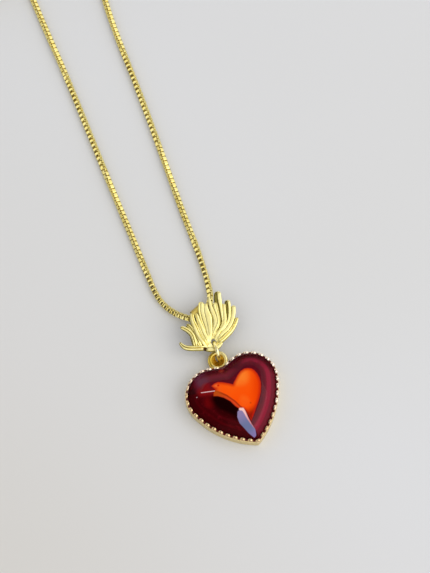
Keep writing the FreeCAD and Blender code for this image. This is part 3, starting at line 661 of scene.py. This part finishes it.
# Centres of two dark dots in the foil and their colours; depths of the dark side's arcs and their red
FOIL_DOTS = (((-2.36, 0.9), (0.66, 0.012, 0.002)), ((1.61, -4.57), (0.72, 0.065, 0.003)))
DARK_ARCS = ((1.5, 0.105), (2.35, 0.090), (3.3, 0.080), (4.2, 0.075))
# Colours in the glass. Painted light among them: the band's brightness, the darker upper rim and far left, and
# the dark side's reds and black are painted shade; the left sheen is a painted sheen; the notch, ember, glow
# and the red by the streak are painted glows; the hot spot, glint, streak and dot are painted highlights; the
# window tones and the ribbons are painted reflections.
TONES = {
    "rim": (0.11, 0.004, 0.009), "border": (0.15, 0.007, 0.018), "band": (0.265, 0.009, 0.030),
    "bevel": (0.10, 0.005, 0.013), "upper_rim": (0.045, 0.001, 0.002), "upper_cloud": (0.075, 0.003, 0.010),
    "left_sheen": (0.11, 0.010, 0.034), "far_left": (0.030, 0.001, 0.002),
    "dark_rim": (0.040, 0.001, 0.0016), "dark": (0.062, 0.0012, 0.0026), "dark_cloud": (0.045, 0.001, 0.002),
    "notch": (0.26, 0.014, 0.010), "speck": (0.20, 0.005, 0.010), "ember": (0.14, 0.002, 0.003),
    "glow": (0.21, 0.005, 0.008), "black": (0.008, 0.0004, 0.0006), "glow_by_streak": (0.22, 0.005, 0.006),
    "foil": (1.0, 0.115, 0.005), "low_foil": (1.0, 0.082, 0.002), "pale_foil": (1.0, 0.24, 0.025),
    "spot": (1.0, 0.15, 0.012), "foil_cloud": (1.0, 0.075, 0.002), "right_foil": (0.85, 0.050, 0.001),
    "foil_tip": (0.22, 0.003, 0.002), "left_foil": (0.80, 0.10, 0.012), "hot_highlight": (1.0, 0.21, 0.04),
    "reflected_left_ribbon": (0.46, 0.075, 0.006), "reflected_ribbon": (0.72, 0.060, 0.012), "reflected_low_ribbon": (0.42, 0.012, 0.002),
    "crease": (0.20, 0.012, 0.003), "foil_edge": (0.55, 0.018, 0.004),
    "window_top": (0.28, 0.22, 0.40), "window": (0.16, 0.185, 0.34), "window_foot": (0.27, 0.20, 0.44),
    "glint": (1.0, 0.62, 0.56), "low_glint": (0.85, 0.33, 0.36), "highlight_streak": (0.95, 0.68, 0.70),
    "highlight_dot": (0.90, 0.66, 0.68),
}


def stone_height(inset):
    """Height of the glass at a distance in from the scallop line."""
    share = (inset - GIRDLE_INSET) / (TABLE_INSET - GIRDLE_INSET)
    return GIRDLE_TOP + (TABLE_TOP - GIRDLE_TOP) * (1 - (1 - min(share, 1.0)) ** BEVEL_POWER)


def stone_mesh():
    """Rings from the foot over the bevel to the table's middle line, and the inset of each vertex."""
    insets = [GIRDLE_INSET + (TABLE_INSET - GIRDLE_INSET) * step / BEVEL_RINGS
              for step in range(BEVEL_RINGS + 1)]
    levels = [(GIRDLE_INSET, STONE_FOOT), (GIRDLE_INSET, GIRDLE_TOP - GIRDLE_SOFT)]
    levels += [(inset, stone_height(inset)) for inset in insets]
    rings = [[(point.x, point.y, height) for point in whole_outline(-inset, STONE_STEPS)]
             for inset, height in levels]
    vertices, faces = stack_rings(rings)
    depths = [inset for inset, _ in levels for _ in range(len(rings[0]))]
    side_steps, lobe_steps, crown_steps = STONE_STEPS
    right = half_outline(-TABLE_INSET, STONE_STEPS)
    spine = [TABLE_MIDDLE.lerp(LOBE_CENTRE, index / side_steps) for index in range(side_steps)]
    spine += [LOBE_CENTRE] * lobe_steps
    spine += [LOBE_CENTRE.lerp(TABLE_MIDDLE, index / crown_steps) for index in range(crown_steps + 1)]
    inner = []
    for step in range(TABLE_RINGS + 1):
        share = step / TABLE_RINGS
        ring = [point.lerp(target, share) for point, target in zip(right, spine)]
        ring += [Vector((-point.x, point.y)) for point in reversed(ring[1:-1])]
        inner.append([(point.x, point.y, TABLE_TOP) for point in ring])
        depths += [TABLE_INSET + TABLE_DEPTH * share] * len(ring)
    start = len(vertices)
    inner_vertices, inner_faces = stack_rings(inner)
    vertices += inner_vertices
    faces += [tuple(start + index for index in face) for face in inner_faces]
    faces.append(tuple(reversed(range(len(rings[0])))))
    return vertices, faces, depths


def distance_to(places, corners, closed):
    """Distance of many places from a line; for a closed outline, above 0 inside it and below 0 outside."""
    corners = np.array(corners)
    ends = np.roll(corners, -1, axis=0) if closed else corners[1:]
    starts = corners if closed else corners[:-1]
    nearest = np.full(len(places), np.inf)
    inside = np.zeros(len(places), dtype=bool)
    for start, end in zip(starts, ends):
        run = end - start
        share = np.clip(((places - start) @ run) / (run @ run), 0.0, 1.0)
        nearest = np.minimum(nearest, np.linalg.norm(places - start - share[:, None] * run, axis=1))
        crosses = (start[1] > places[:, 1]) != (end[1] > places[:, 1])
        if start[1] != end[1]:
            meets = start[0] + (places[:, 1] - start[1]) / (end[1] - start[1]) * run[0]
            inside ^= crosses & (places[:, 0] < meets)
    return np.where(inside, nearest, -nearest) if closed else nearest


def patch(x, y, centre, start, end, stretch=1.0):
    """1 at a place on the glass and 0 away from it; start and end are squared distances."""
    return 1.0 - ((x - centre[0]) ** 2.0 + stretch * (y - centre[1]) ** 2.0).ease(start, end)


def border_colours(x, y, inset, cloud, upper, left):
    """Nested bands of red glass along the rim, with painted light: brightest at the lower right, darker at the
    top and far left, and a painted sheen at the upper left.
    """
    # Painted light: the middle band brightens towards the lower right, where the lamp is
    band = inset.ease(1.0, 1.35) * (1.0 - inset.ease(1.85, 2.15)) * (0.12 + 0.88 * (x - y).ease(-1.0, 3.5))
    border = inset.ease(0.2, 0.9).blend(TONES["rim"], TONES["border"])
    border = band.blend(border, TONES["band"])
    border = inset.ease(2.0, 2.6).blend(border, TONES["bevel"])
    # Painted shade: the upper rim is darker
    border = (upper * (1.0 - inset.ease(0.7, 1.5))).blend(border, TONES["upper_rim"])
    border = (upper * cloud.ease(0.3, 0.7)).blend(border, TONES["upper_cloud"])
    # Painted sheen at the upper left
    border = left.blend(border, TONES["left_sheen"])
    # Painted shade: darker at the far left
    return (-1.0 * x).ease(5.6, 7.0).blend(border, TONES["far_left"])


def dark_colours(inset, cloud):
    """Painted shade: deep red of the lower left side, with faint arcs along the rim."""
    maroon = inset.ease(0.2, 1.4).blend(TONES["dark_rim"], TONES["dark"])
    maroon = cloud.ease(0.35, 0.75).blend(maroon, TONES["dark_cloud"])
    for depth, red in DARK_ARCS:
        arc = 1.0 - ((inset + 0.5 * cloud - depth - 0.25) ** 2.0).ease(0.0, 0.07)
        maroon = (arc * (0.05 + 0.6 * cloud)).blend(maroon, (red, 0.0016, 0.004))
    return maroon


def foil_colours(x, y, down, cloud, orange, bright):
    """Orange foil with a painted highlight at its upper left, redder at its edges, over a darker ribbon that is
    a painted reflection.
    """
    foil = down.ease(-1.0, 4.0).blend(TONES["foil"], TONES["low_foil"])
    foil = patch(x, y, (1.9, 0.8), -1.5, 5.5).blend(foil, TONES["pale_foil"])
    foil = patch(x, y, (0.7, -3.9), -0.8, 1.8, 0.6).blend(foil, TONES["spot"])
    foil = (0.5 * cloud.ease(0.35, 0.75)).blend(foil, TONES["foil_cloud"])
    foil = (x - 0.4 * y).ease(3.0, 5.6).blend(foil, TONES["right_foil"])
    foil = down.ease(4.8, 6.8).blend(foil, TONES["foil_tip"])
    foil = (-1.0 * x + 0.2 * y).ease(1.6, 3.6).blend(foil, TONES["left_foil"])
    # Painted highlight: a hot pale spot at the foil's upper left end
    foil = patch(x, y, (-2.9, 1.35), -0.1, 0.5).blend(foil, TONES["hot_highlight"])
    for centre, darker in FOIL_DOTS:
        foil = patch(x, y, centre, 0.0, 0.07).blend(foil, darker)
    # Painted reflection: a darker ribbon below the foil's lower edge
    reflected_ribbon = down.ease(-0.5, 3.0).blend(TONES["reflected_left_ribbon"], TONES["reflected_ribbon"])
    reflected_ribbon = down.ease(4.2, 5.6).blend(reflected_ribbon, TONES["reflected_low_ribbon"])
    below = 1.0 - bright.ease(-0.15, 0.20)
    foil = below.blend(foil, reflected_ribbon)
    crease = (1.0 - ((bright + 0.05) ** 2.0).ease(0.0, 0.04)) * down.ease(-0.6, 1.2)
    foil = (0.6 * crease).blend(foil, TONES["crease"])
    edge = 1.0 - (orange + 0.45 * below).ease(-0.1, 0.75)
    return edge.blend(foil, TONES["foil_edge"])


def stone_colours(shade):
    """What is seen in the glass, from the back to the front, with painted shade, glows, reflection and
    highlights, and the sheen of its surface.
    """
    x, y, _ = shade.place()
    inset, orange, bright, dark_side, black, window, glint, highlight_streak, highlight_dot = [
        shade.layer(name) for name in ("inset", "orange", "bright", "dark_side", "black", "window",
                                       "glint", "highlight_streak", "highlight_dot")]
    cloud = shade.noise(0.35)
    down = -1.0 * y
    upper = (0.3 * x + y).ease(1.0, 3.5)
    left = (-1.0 * x).ease(2.8, 4.4) * (1.0 - (-1.0 * x).ease(5.2, 6.6)) * y.ease(1.6, 2.6)
    side = dark_side.ease(-0.15, 0.25)
    # Painted shade: the lower left side is deep red
    seen = side.blend(border_colours(x, y, inset, cloud, upper, left), dark_colours(inset, cloud))
    # Painted glow: red near the notch
    seen = (0.8 * patch(x, y, (-0.5, 3.55), 0.0, 0.55, 1.5)).blend(seen, TONES["notch"])
    seen = (0.3 * shade.noise(1.5, 3.0).ease(0.50, 0.75)).blend(seen, TONES["speck"])
    # Painted glows: red on the left lobe, below and above the streak
    seen = patch(x, y, (-5.0, -1.3), 0.0, 2.2).blend(seen, TONES["ember"])
    seen = patch(x, y, (-4.5, 1.7), -0.3, 1.5, 1.6).blend(seen, TONES["glow"])
    # Painted shade: a black crescent below the foil
    seen = black.ease(-1.3, 0.5).blend(seen, TONES["black"])
    # Painted glow: red around the highlight streak
    seen = (1.0 - highlight_streak.ease(0.1, 1.2)).blend(seen, TONES["glow_by_streak"])
    seen = orange.ease(-0.10, 0.12).blend(seen, foil_colours(x, y, down, cloud, orange, bright))
    # Painted reflection of a window, lavender, near the tip
    lavender = down.ease(5.5, 8.0).blend(TONES["window_top"], TONES["window"])
    lavender = down.ease(8.5, 10.5).blend(lavender, TONES["window_foot"])
    seen = window.ease(-0.06, 0.10).blend(seen, lavender)
    # Painted highlight: a pink glint along the window's right edge
    pink = down.ease(5.0, 8.0).blend(TONES["glint"], TONES["low_glint"])
    thinner = glint - 0.07 + 0.05 * (down - 4.8)
    seen = (1.0 - thinner.ease(0.08, 0.27)).blend(seen, pink)
    # Painted highlights: a thin streak and a dot on the left lobe
    seen = (1.0 - highlight_streak.ease(0.0, 0.12)).blend(seen, TONES["highlight_streak"])
    seen = (1.0 - highlight_dot.ease(0.03, 0.13)).blend(seen, TONES["highlight_dot"])
    sheen = (1.0 - side) * (0.17 + 0.16 * left - 0.10 * upper) * (1.0 - 0.7 * orange.ease(-0.3, 0.1)) + 0.04
    return {"Base Color": seen, "Coat Weight": sheen * (1.0 - 0.8 * (-1.0 * x).ease(5.0, 6.2))}


stone_vertices, stone_faces, stone_insets = stone_mesh()
stone = build_mesh("stone", stone_vertices, stone_faces, 60)
stone_places = np.array([tuple(vertex) for vertex in stone_vertices]) * 1000.0
seen_places = stone_places[:, :2] + (SEEN_HEIGHT - stone_places[:, 2:]) * np.array(SEEN_LEAN)
add_layer(stone, "inset", np.array(stone_insets) * 1000.0)
for name, corners in SEEN_SHAPES.items():
    add_layer(stone, name, distance_to(seen_places, corners, True))
for name, corners in SEEN_LINES.items():
    add_layer(stone, name, distance_to(seen_places, corners, False))
weld(stone)
stone.data.materials.append(surface("red_glass", stone_colours, {
    "Roughness": 0.3, "Specular IOR Level": 0.0, "Coat Roughness": 0.03}))
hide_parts("heart_stone")
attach(stone, "heart")


# Flame: a cast fan of tongues on a flat back, gold-plated. Each tongue is a flat-topped band that
# tapers to its tip, and narrow grooves part it from its neighbours. Its foot has the jump ring's eye.
FLAME_FOOT = Vector((0.0003, 0.00855, 0.0023))
FLAME_TILT = math.radians(10.0)
ROOT_HEIGHT = 0.5
EYE = Vector((0.0003, 0.0007))
EYE_ACROSS = 0.00050
EYE_ALONG = 0.00066
FOOT_RADIUS = 0.00115
FOOT_THICKNESS = 0.00056
SKIRT_HEIGHT = 0.22
SKIRT_WIDTH = 0.12
SKIRT_DEPTH = 0.2
TONGUE_SQUARENESS = 6
TONGUE_SLIMMEST = 0.06
TONGUE_STATIONS = 26
RISING_SHARE = 0.2
TIP_STATIONS = 7
TIP_LENGTH = 0.9
LINE_WIDTH = 0.13
FOLD_DEPTH = 0.55
FOLD_WIDTH = 0.25
# Name, height of the crest, and points from root to tip (across, along, half width), in millimetres
# in the flame's own frame
TONGUES = [
    ("lower_curl", 0.8, [(-1.1, 0.2, 0.36), (-3.13, 1.1, 0.4), (-4.23, 1.58, 0.4), (-4.98, 2.13, 0.38),
                         (-5.35, 2.8, 0.28), (-5.43, 3.3, 0.14)]),
    ("upper_curl", 0.85, [(-3.12, 1.1, 0.38), (-2.79, 2.89, 0.4), (-2.79, 3.87, 0.4), (-3.16, 4.74, 0.38),
                          (-3.68, 5.39, 0.34), (-4.16, 5.77, 0.22)]),
    ("short_left", 0.75, [(-2.2, 0.95, 0.36), (-2.28, 3.28, 0.4), (-2.43, 4.74, 0.38), (-2.83, 5.82, 0.32)]),
    ("left", 0.95, [(-1.1, 0.15, 0.4), (-1.64, 2.99, 0.52), (-1.62, 4.62, 0.52), (-1.55, 6.06, 0.44),
                    (-1.19, 7.29, 0.36)]),
    ("inner_left", 1.0, [(-0.6, 0.25, 0.44), (-0.76, 3.04, 0.5), (-0.68, 4.44, 0.44), (-0.61, 5.74, 0.38),
                         (-0.46, 6.92, 0.32)]),
    ("broad_left", 0.95, [(-0.6, 0.4, 0.4), (0.14, 3.55, 0.5), (0.35, 5.3, 0.56), (0.67, 6.91, 0.54),
                          (1.32, 8.54, 0.4)]),
    ("broad_right", 1.0, [(-0.2, 0.9, 0.28), (0.51, 2.77, 0.34), (0.96, 4.0, 0.5), (1.35, 5.37, 0.58),
                          (1.52, 6.72, 0.46), (1.83, 7.92, 0.33)]),
    ("middle", 0.95, [(0.0, 1.05, 0.26), (1.09, 2.61, 0.36), (1.97, 3.65, 0.42), (2.39, 4.79, 0.44),
                      (2.47, 6.19, 0.38), (2.66, 7.55, 0.27), (3.1, 8.85, 0.23)]),
    ("middle_short", 1.05, [(0.14, 0.99, 0.26), (1.26, 2.43, 0.3), (2.21, 3.17, 0.34), (2.8, 3.99, 0.34),
                            (3.11, 5.18, 0.36), (3.28, 6.36, 0.46), (3.52, 7.4, 0.48)]),
    ("tallest", 0.9, [(0.2, 0.86, 0.28), (1.21, 1.98, 0.32), (2.38, 2.64, 0.4), (3.26, 3.47, 0.42),
                      (3.7, 4.82, 0.46), (4.07, 6.19, 0.54), (4.35, 7.5, 0.66), (4.96, 9.08, 0.57)]),
    ("right_short", 1.0, [(0.37, 0.78, 0.26), (2.09, 2.15, 0.3), (3.26, 2.77, 0.32), (4.01, 3.75, 0.33),
                          (4.53, 5.16, 0.32), (5.05, 6.49, 0.3)]),
    ("right", 0.9, [(0.48, 0.84, 0.3), (1.88, 2.05, 0.36), (3.21, 2.57, 0.42), (4.3, 3.33, 0.44),
                    (5.05, 4.41, 0.44), (5.61, 5.7, 0.46), (5.9, 6.85, 0.52)]),
    ("outer_right", 0.95, [(0.58, 0.79, 0.3), (2.46, 1.58, 0.36), (3.82, 2.07, 0.38), (4.95, 2.91, 0.4),
                           (5.87, 4.06, 0.42), (6.54, 5.44, 0.39)]),
    ("lowest_right", 0.95, [(0.3, 0.2, 0.32), (1.49, 0.42, 0.38), (2.82, 0.84, 0.42), (4.17, 1.38, 0.4),
                            (5.31, 2.13, 0.36), (6.25, 3.09, 0.28)]),
    ("foot_leaf", 0.62, [(-1.74, 0.42, 0.3), (-0.88, -0.15, 0.36), (0.13, -0.41, 0.4), (1.04, -0.27, 0.3),
                         (1.79, -0.05, 0.1)]),
]


def smooth_line(points, steps):
    """Points along a smooth line through a few given ones."""
    given = [Vector(point) for point in points]
    ends = [2 * given[0] - given[1]] + given + [2 * given[-1] - given[-2]]
    line = []
    for before, start, end, after in zip(ends, ends[1:], ends[2:], ends[3:]):
        for step in range(steps):
            share = step / steps
            line.append(0.5 * (2 * start + (end - before) * share
                               + (2 * before - 5 * start + 4 * end - after) * share ** 2
                               + (3 * start - before - 3 * end + after) * share ** 3))
    return line + [given[-1]]


# Half width at which a fine line runs along a tongue, 1 at its left edge, and the line's depth
TONGUE_LINES = {
    "lower_curl": (0.0, 0.45), "upper_curl": (0.05, 0.45), "short_left": (0.1, 0.3), "left": (-0.35, 0.2),
    "inner_left": (0.4, 0.2), "broad_left": (0.5, 0.18), "middle_short": (-0.3, 0.12),
    "lowest_right": (0.1, 0.2),
}
FOLDED_TONGUES = ("tallest", "right")
WIDER_TONGUES = {"broad_left": 1.14, "broad_right": 1.14}
WIDER = 1.04


def tongue_stations(points):
    """Across, along and half width at close stations, the tip's rounding from 1 to 0, and shares of length."""
    line = smooth_line(points, 14)
    passed = np.concatenate([[0.0], np.cumsum([(b.xy - a.xy).length for a, b in zip(line, line[1:])])])
    cap = TIP_LENGTH * points[-1][2]
    plain = np.linspace(0.0, passed[-1] - cap, TONGUE_STATIONS)
    turns = np.linspace(0.0, math.pi / 2, TIP_STATIONS + 1)[1:]
    at = np.concatenate([plain, passed[-1] - cap + cap * np.sin(turns)])
    roundness = np.concatenate([np.ones(len(plain)), np.cos(turns) ** 0.8])
    spots = np.stack([np.interp(at, passed, [point[axis] for point in line]) for axis in range(3)], axis=1)
    return spots, roundness, at / passed[-1]


def tongue_mesh(name, crest, points, section_steps=26):
    """Closed band with a flat top and low skirts at both sides, in the flame's own frame."""
    spots, roundness, shares = tongue_stations(points)
    rings = []
    for index, (across_at, along_at, half_width) in enumerate(spots):
        ahead, behind = spots[min(index + 1, len(spots) - 1)], spots[max(index - 1, 0)]
        forward = Vector(ahead[:2] - behind[:2]).normalized()
        sideways = Vector((-forward.y, forward.x))
        blunt = max(float(roundness[index]), TONGUE_SLIMMEST)
        rise = min(shares[index] / RISING_SHARE, 1.0)
        height = (ROOT_HEIGHT + (crest - ROOT_HEIGHT) * rise * rise * (3 - 2 * rise)) * blunt ** 0.35
        low = SKIRT_HEIGHT * height * blunt
        skirt = SKIRT_WIDTH * (1 - shares[index] ** 2)
        width = half_width * blunt * WIDER_TONGUES.get(name, WIDER)
        line_at, line_depth = TONGUE_LINES.get(name, (0.0, 0.0))
        top = []
        for corner in range(section_steps + 1):
            side = math.cos(math.pi * corner / section_steps)
            level = (1 - abs(side) ** TONGUE_SQUARENESS) ** (1 / TONGUE_SQUARENESS)
            level -= line_depth * math.exp(-((side - line_at) / LINE_WIDTH) ** 2) * level
            if name in FOLDED_TONGUES and side > 0:
                level *= 1 - FOLD_DEPTH * min(side / FOLD_WIDTH, 1.0)
            top.append((side * width, low + (height - low) * level))
        foot = width + skirt
        profile = [(foot, -SKIRT_DEPTH), (foot, low)] + top + [(-foot, low), (-foot, -SKIRT_DEPTH)]
        centre = Vector((across_at, along_at))
        ring = []
        for reach, level in profile:
            spot = centre + sideways * reach
            ring.append((spot.x * 0.001, spot.y * 0.001, level * 0.001))
        rings.append(ring)
    return close_ends(*stack_rings(rings), len(rings[0]))


def disc_mesh(centre, across, along, low, high, steps=64):
    """Plain closed cylinder along Z, round or oval."""
    rings = [[(centre.x + across * math.cos(2 * math.pi * step / steps),
               centre.y + along * math.sin(2 * math.pi * step / steps), height) for step in range(steps)]
             for height in (low, high)]
    return close_ends(*stack_rings(rings), steps)


def cut_and_join(name, first, operations):
    """Boolean steps on a mesh, one after another, each with an operation and a tool mesh."""
    base = weld(build_mesh(name, *first))
    tools = []
    for index, (operation, tool_mesh) in enumerate(operations):
        tool = weld(build_mesh(f"{name}_tool_{index}", *tool_mesh))
        step = base.modifiers.new(f"step_{index}", "BOOLEAN")
        step.operation = operation
        step.solver = "MANIFOLD"
        step.object = tool
        tools.append(tool)
    bpy.context.view_layer.update()
    result = bpy.data.meshes.new_from_object(base.evaluated_get(bpy.context.evaluated_depsgraph_get()))
    base.modifiers.clear()
    base.data = result
    for tool in tools:
        bpy.data.objects.remove(tool)
    return base


def flame_colours(shade):
    """Pale gold tops, and painted shade in dark olive on the low parts away from the foot, in the narrow
    grooves between the tongues and on the folded halves; and a painted shadow in a gap by the foot.
    """
    x, y, z = shade.place()
    up, along = z - 1000.0 * FLAME_FOOT.z, y - 1000.0 * FLAME_FOOT.y
    height = math.cos(FLAME_TILT) * up - math.sin(FLAME_TILT) * along
    from_foot = math.cos(FLAME_TILT) * along + math.sin(FLAME_TILT) * up
    # Painted shade: the low parts turn dark olive, except near the foot
    lit = (height + 0.35 * (1.0 - from_foot.ease(0.6, 2.2))).ease(0.42, 0.86)
    gilt = lit.blend((0.26, 0.21, 0.020), cloudy(shade, (0.91, 0.80, 0.31), (0.95, 0.86, 0.39)))
    # Painted shadow: a dark spot in the gap at the foot's left
    gap_shadow = patch(x, y, (-1.40, 8.70), 0.03, 0.20)
    return {"Base Color": gap_shadow.blend(gilt, (0.05, 0.02, 0.003)), **plate_finish(shade, 0.38)}


flame_steps = [("UNION", tongue_mesh(name, crest, points)) for name, crest, points in TONGUES]
flame_steps.append(("DIFFERENCE", disc_mesh(EYE, EYE_ACROSS, EYE_ALONG, -0.001, 0.003)))
flame_steps.append(("DIFFERENCE", disc_mesh(EYE, 0.02, 0.02, -0.001, 0.0)))
foot_disc = disc_mesh(EYE, FOOT_RADIUS, FOOT_RADIUS, -0.0001, FOOT_THICKNESS)
flame = cut_and_join("flame_fan", foot_disc, flame_steps)
flame.data.transform(Matrix.Translation(FLAME_FOOT) @ Matrix.Rotation(FLAME_TILT, 4, "X"))
flame.data.shade_smooth()
flame.data.set_sharp_from_angle(angle=math.radians(40))
flame.data.materials.clear()
flame.data.materials.append(surface("flame_gold", flame_colours, {"Metallic": 1.0}))
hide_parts("flame")
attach(flame, "flame")


# Bail: a band of gold strip soldered behind the flame, which the chain runs through.
# Its gold is painted darker than the chain's, a painted shade for its place behind the flame
shaded_bail_gold = gold("shaded_bail_gold", (0.62, 0.48, 0.12), (0.50, 0.36, 0.07), 0.3)
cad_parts["bail"].data.materials.clear()
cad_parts["bail"].data.materials.append(shaded_bail_gold)


# Jump ring: round gold wire on edge, through the flame's eye and the heart's loop.
RING_TURN = math.radians(-7.0)
RING_RADIUS = 0.0017
RING_WIRE = 0.0003


def torus_mesh(centre, axis, radius, wire_radius, steps=96, wire_steps=24):
    """Ring of round wire about an axis."""
    axis = Vector(axis).normalized()
    first = axis.orthogonal().normalized()
    second = axis.cross(first)
    rings = []
    for step in range(steps + 1):
        angle = 2 * math.pi * step / steps
        outward = first * math.cos(angle) + second * math.sin(angle)
        rings.append([Vector(centre) + outward * (radius + wire_radius * math.cos(turn))
                      + axis * wire_radius * math.sin(turn)
                      for turn in (2 * math.pi * corner / wire_steps for corner in range(wire_steps))])
    return stack_rings(rings)


ring_gold = gold("ring_gold", (0.96, 0.88, 0.46), (0.92, 0.80, 0.36), 0.25)
ring_low, ring_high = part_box("jump_ring")
ring_middle = (ring_low + ring_high) / 2
jump_ring = weld(build_mesh("jump_ring_wire", *torus_mesh(
    ring_middle, (math.cos(RING_TURN), math.sin(RING_TURN), 0.0), RING_RADIUS, RING_WIRE)))
jump_ring.data.materials.append(ring_gold)
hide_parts("jump_ring")
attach(jump_ring, "jump_ring")


# Clasp and end rings: soldered rings of round wire at both ends of the chain, and a small cast
# lobster clasp with a sprung lever on a rivet.
clasp_gold = gold("clasp_gold", (0.93, 0.79, 0.34), (0.86, 0.70, 0.25), 0.2)
clasp_nodes = ["clasp_link", "clasp_body", "clasp_lever", "clasp_pin", "clasp_spring",
               "near_end_ring", "far_end_ring"]
for name in clasp_nodes:
    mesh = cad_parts[name].data
    mesh.materials.clear()
    mesh.materials.append(clasp_gold)
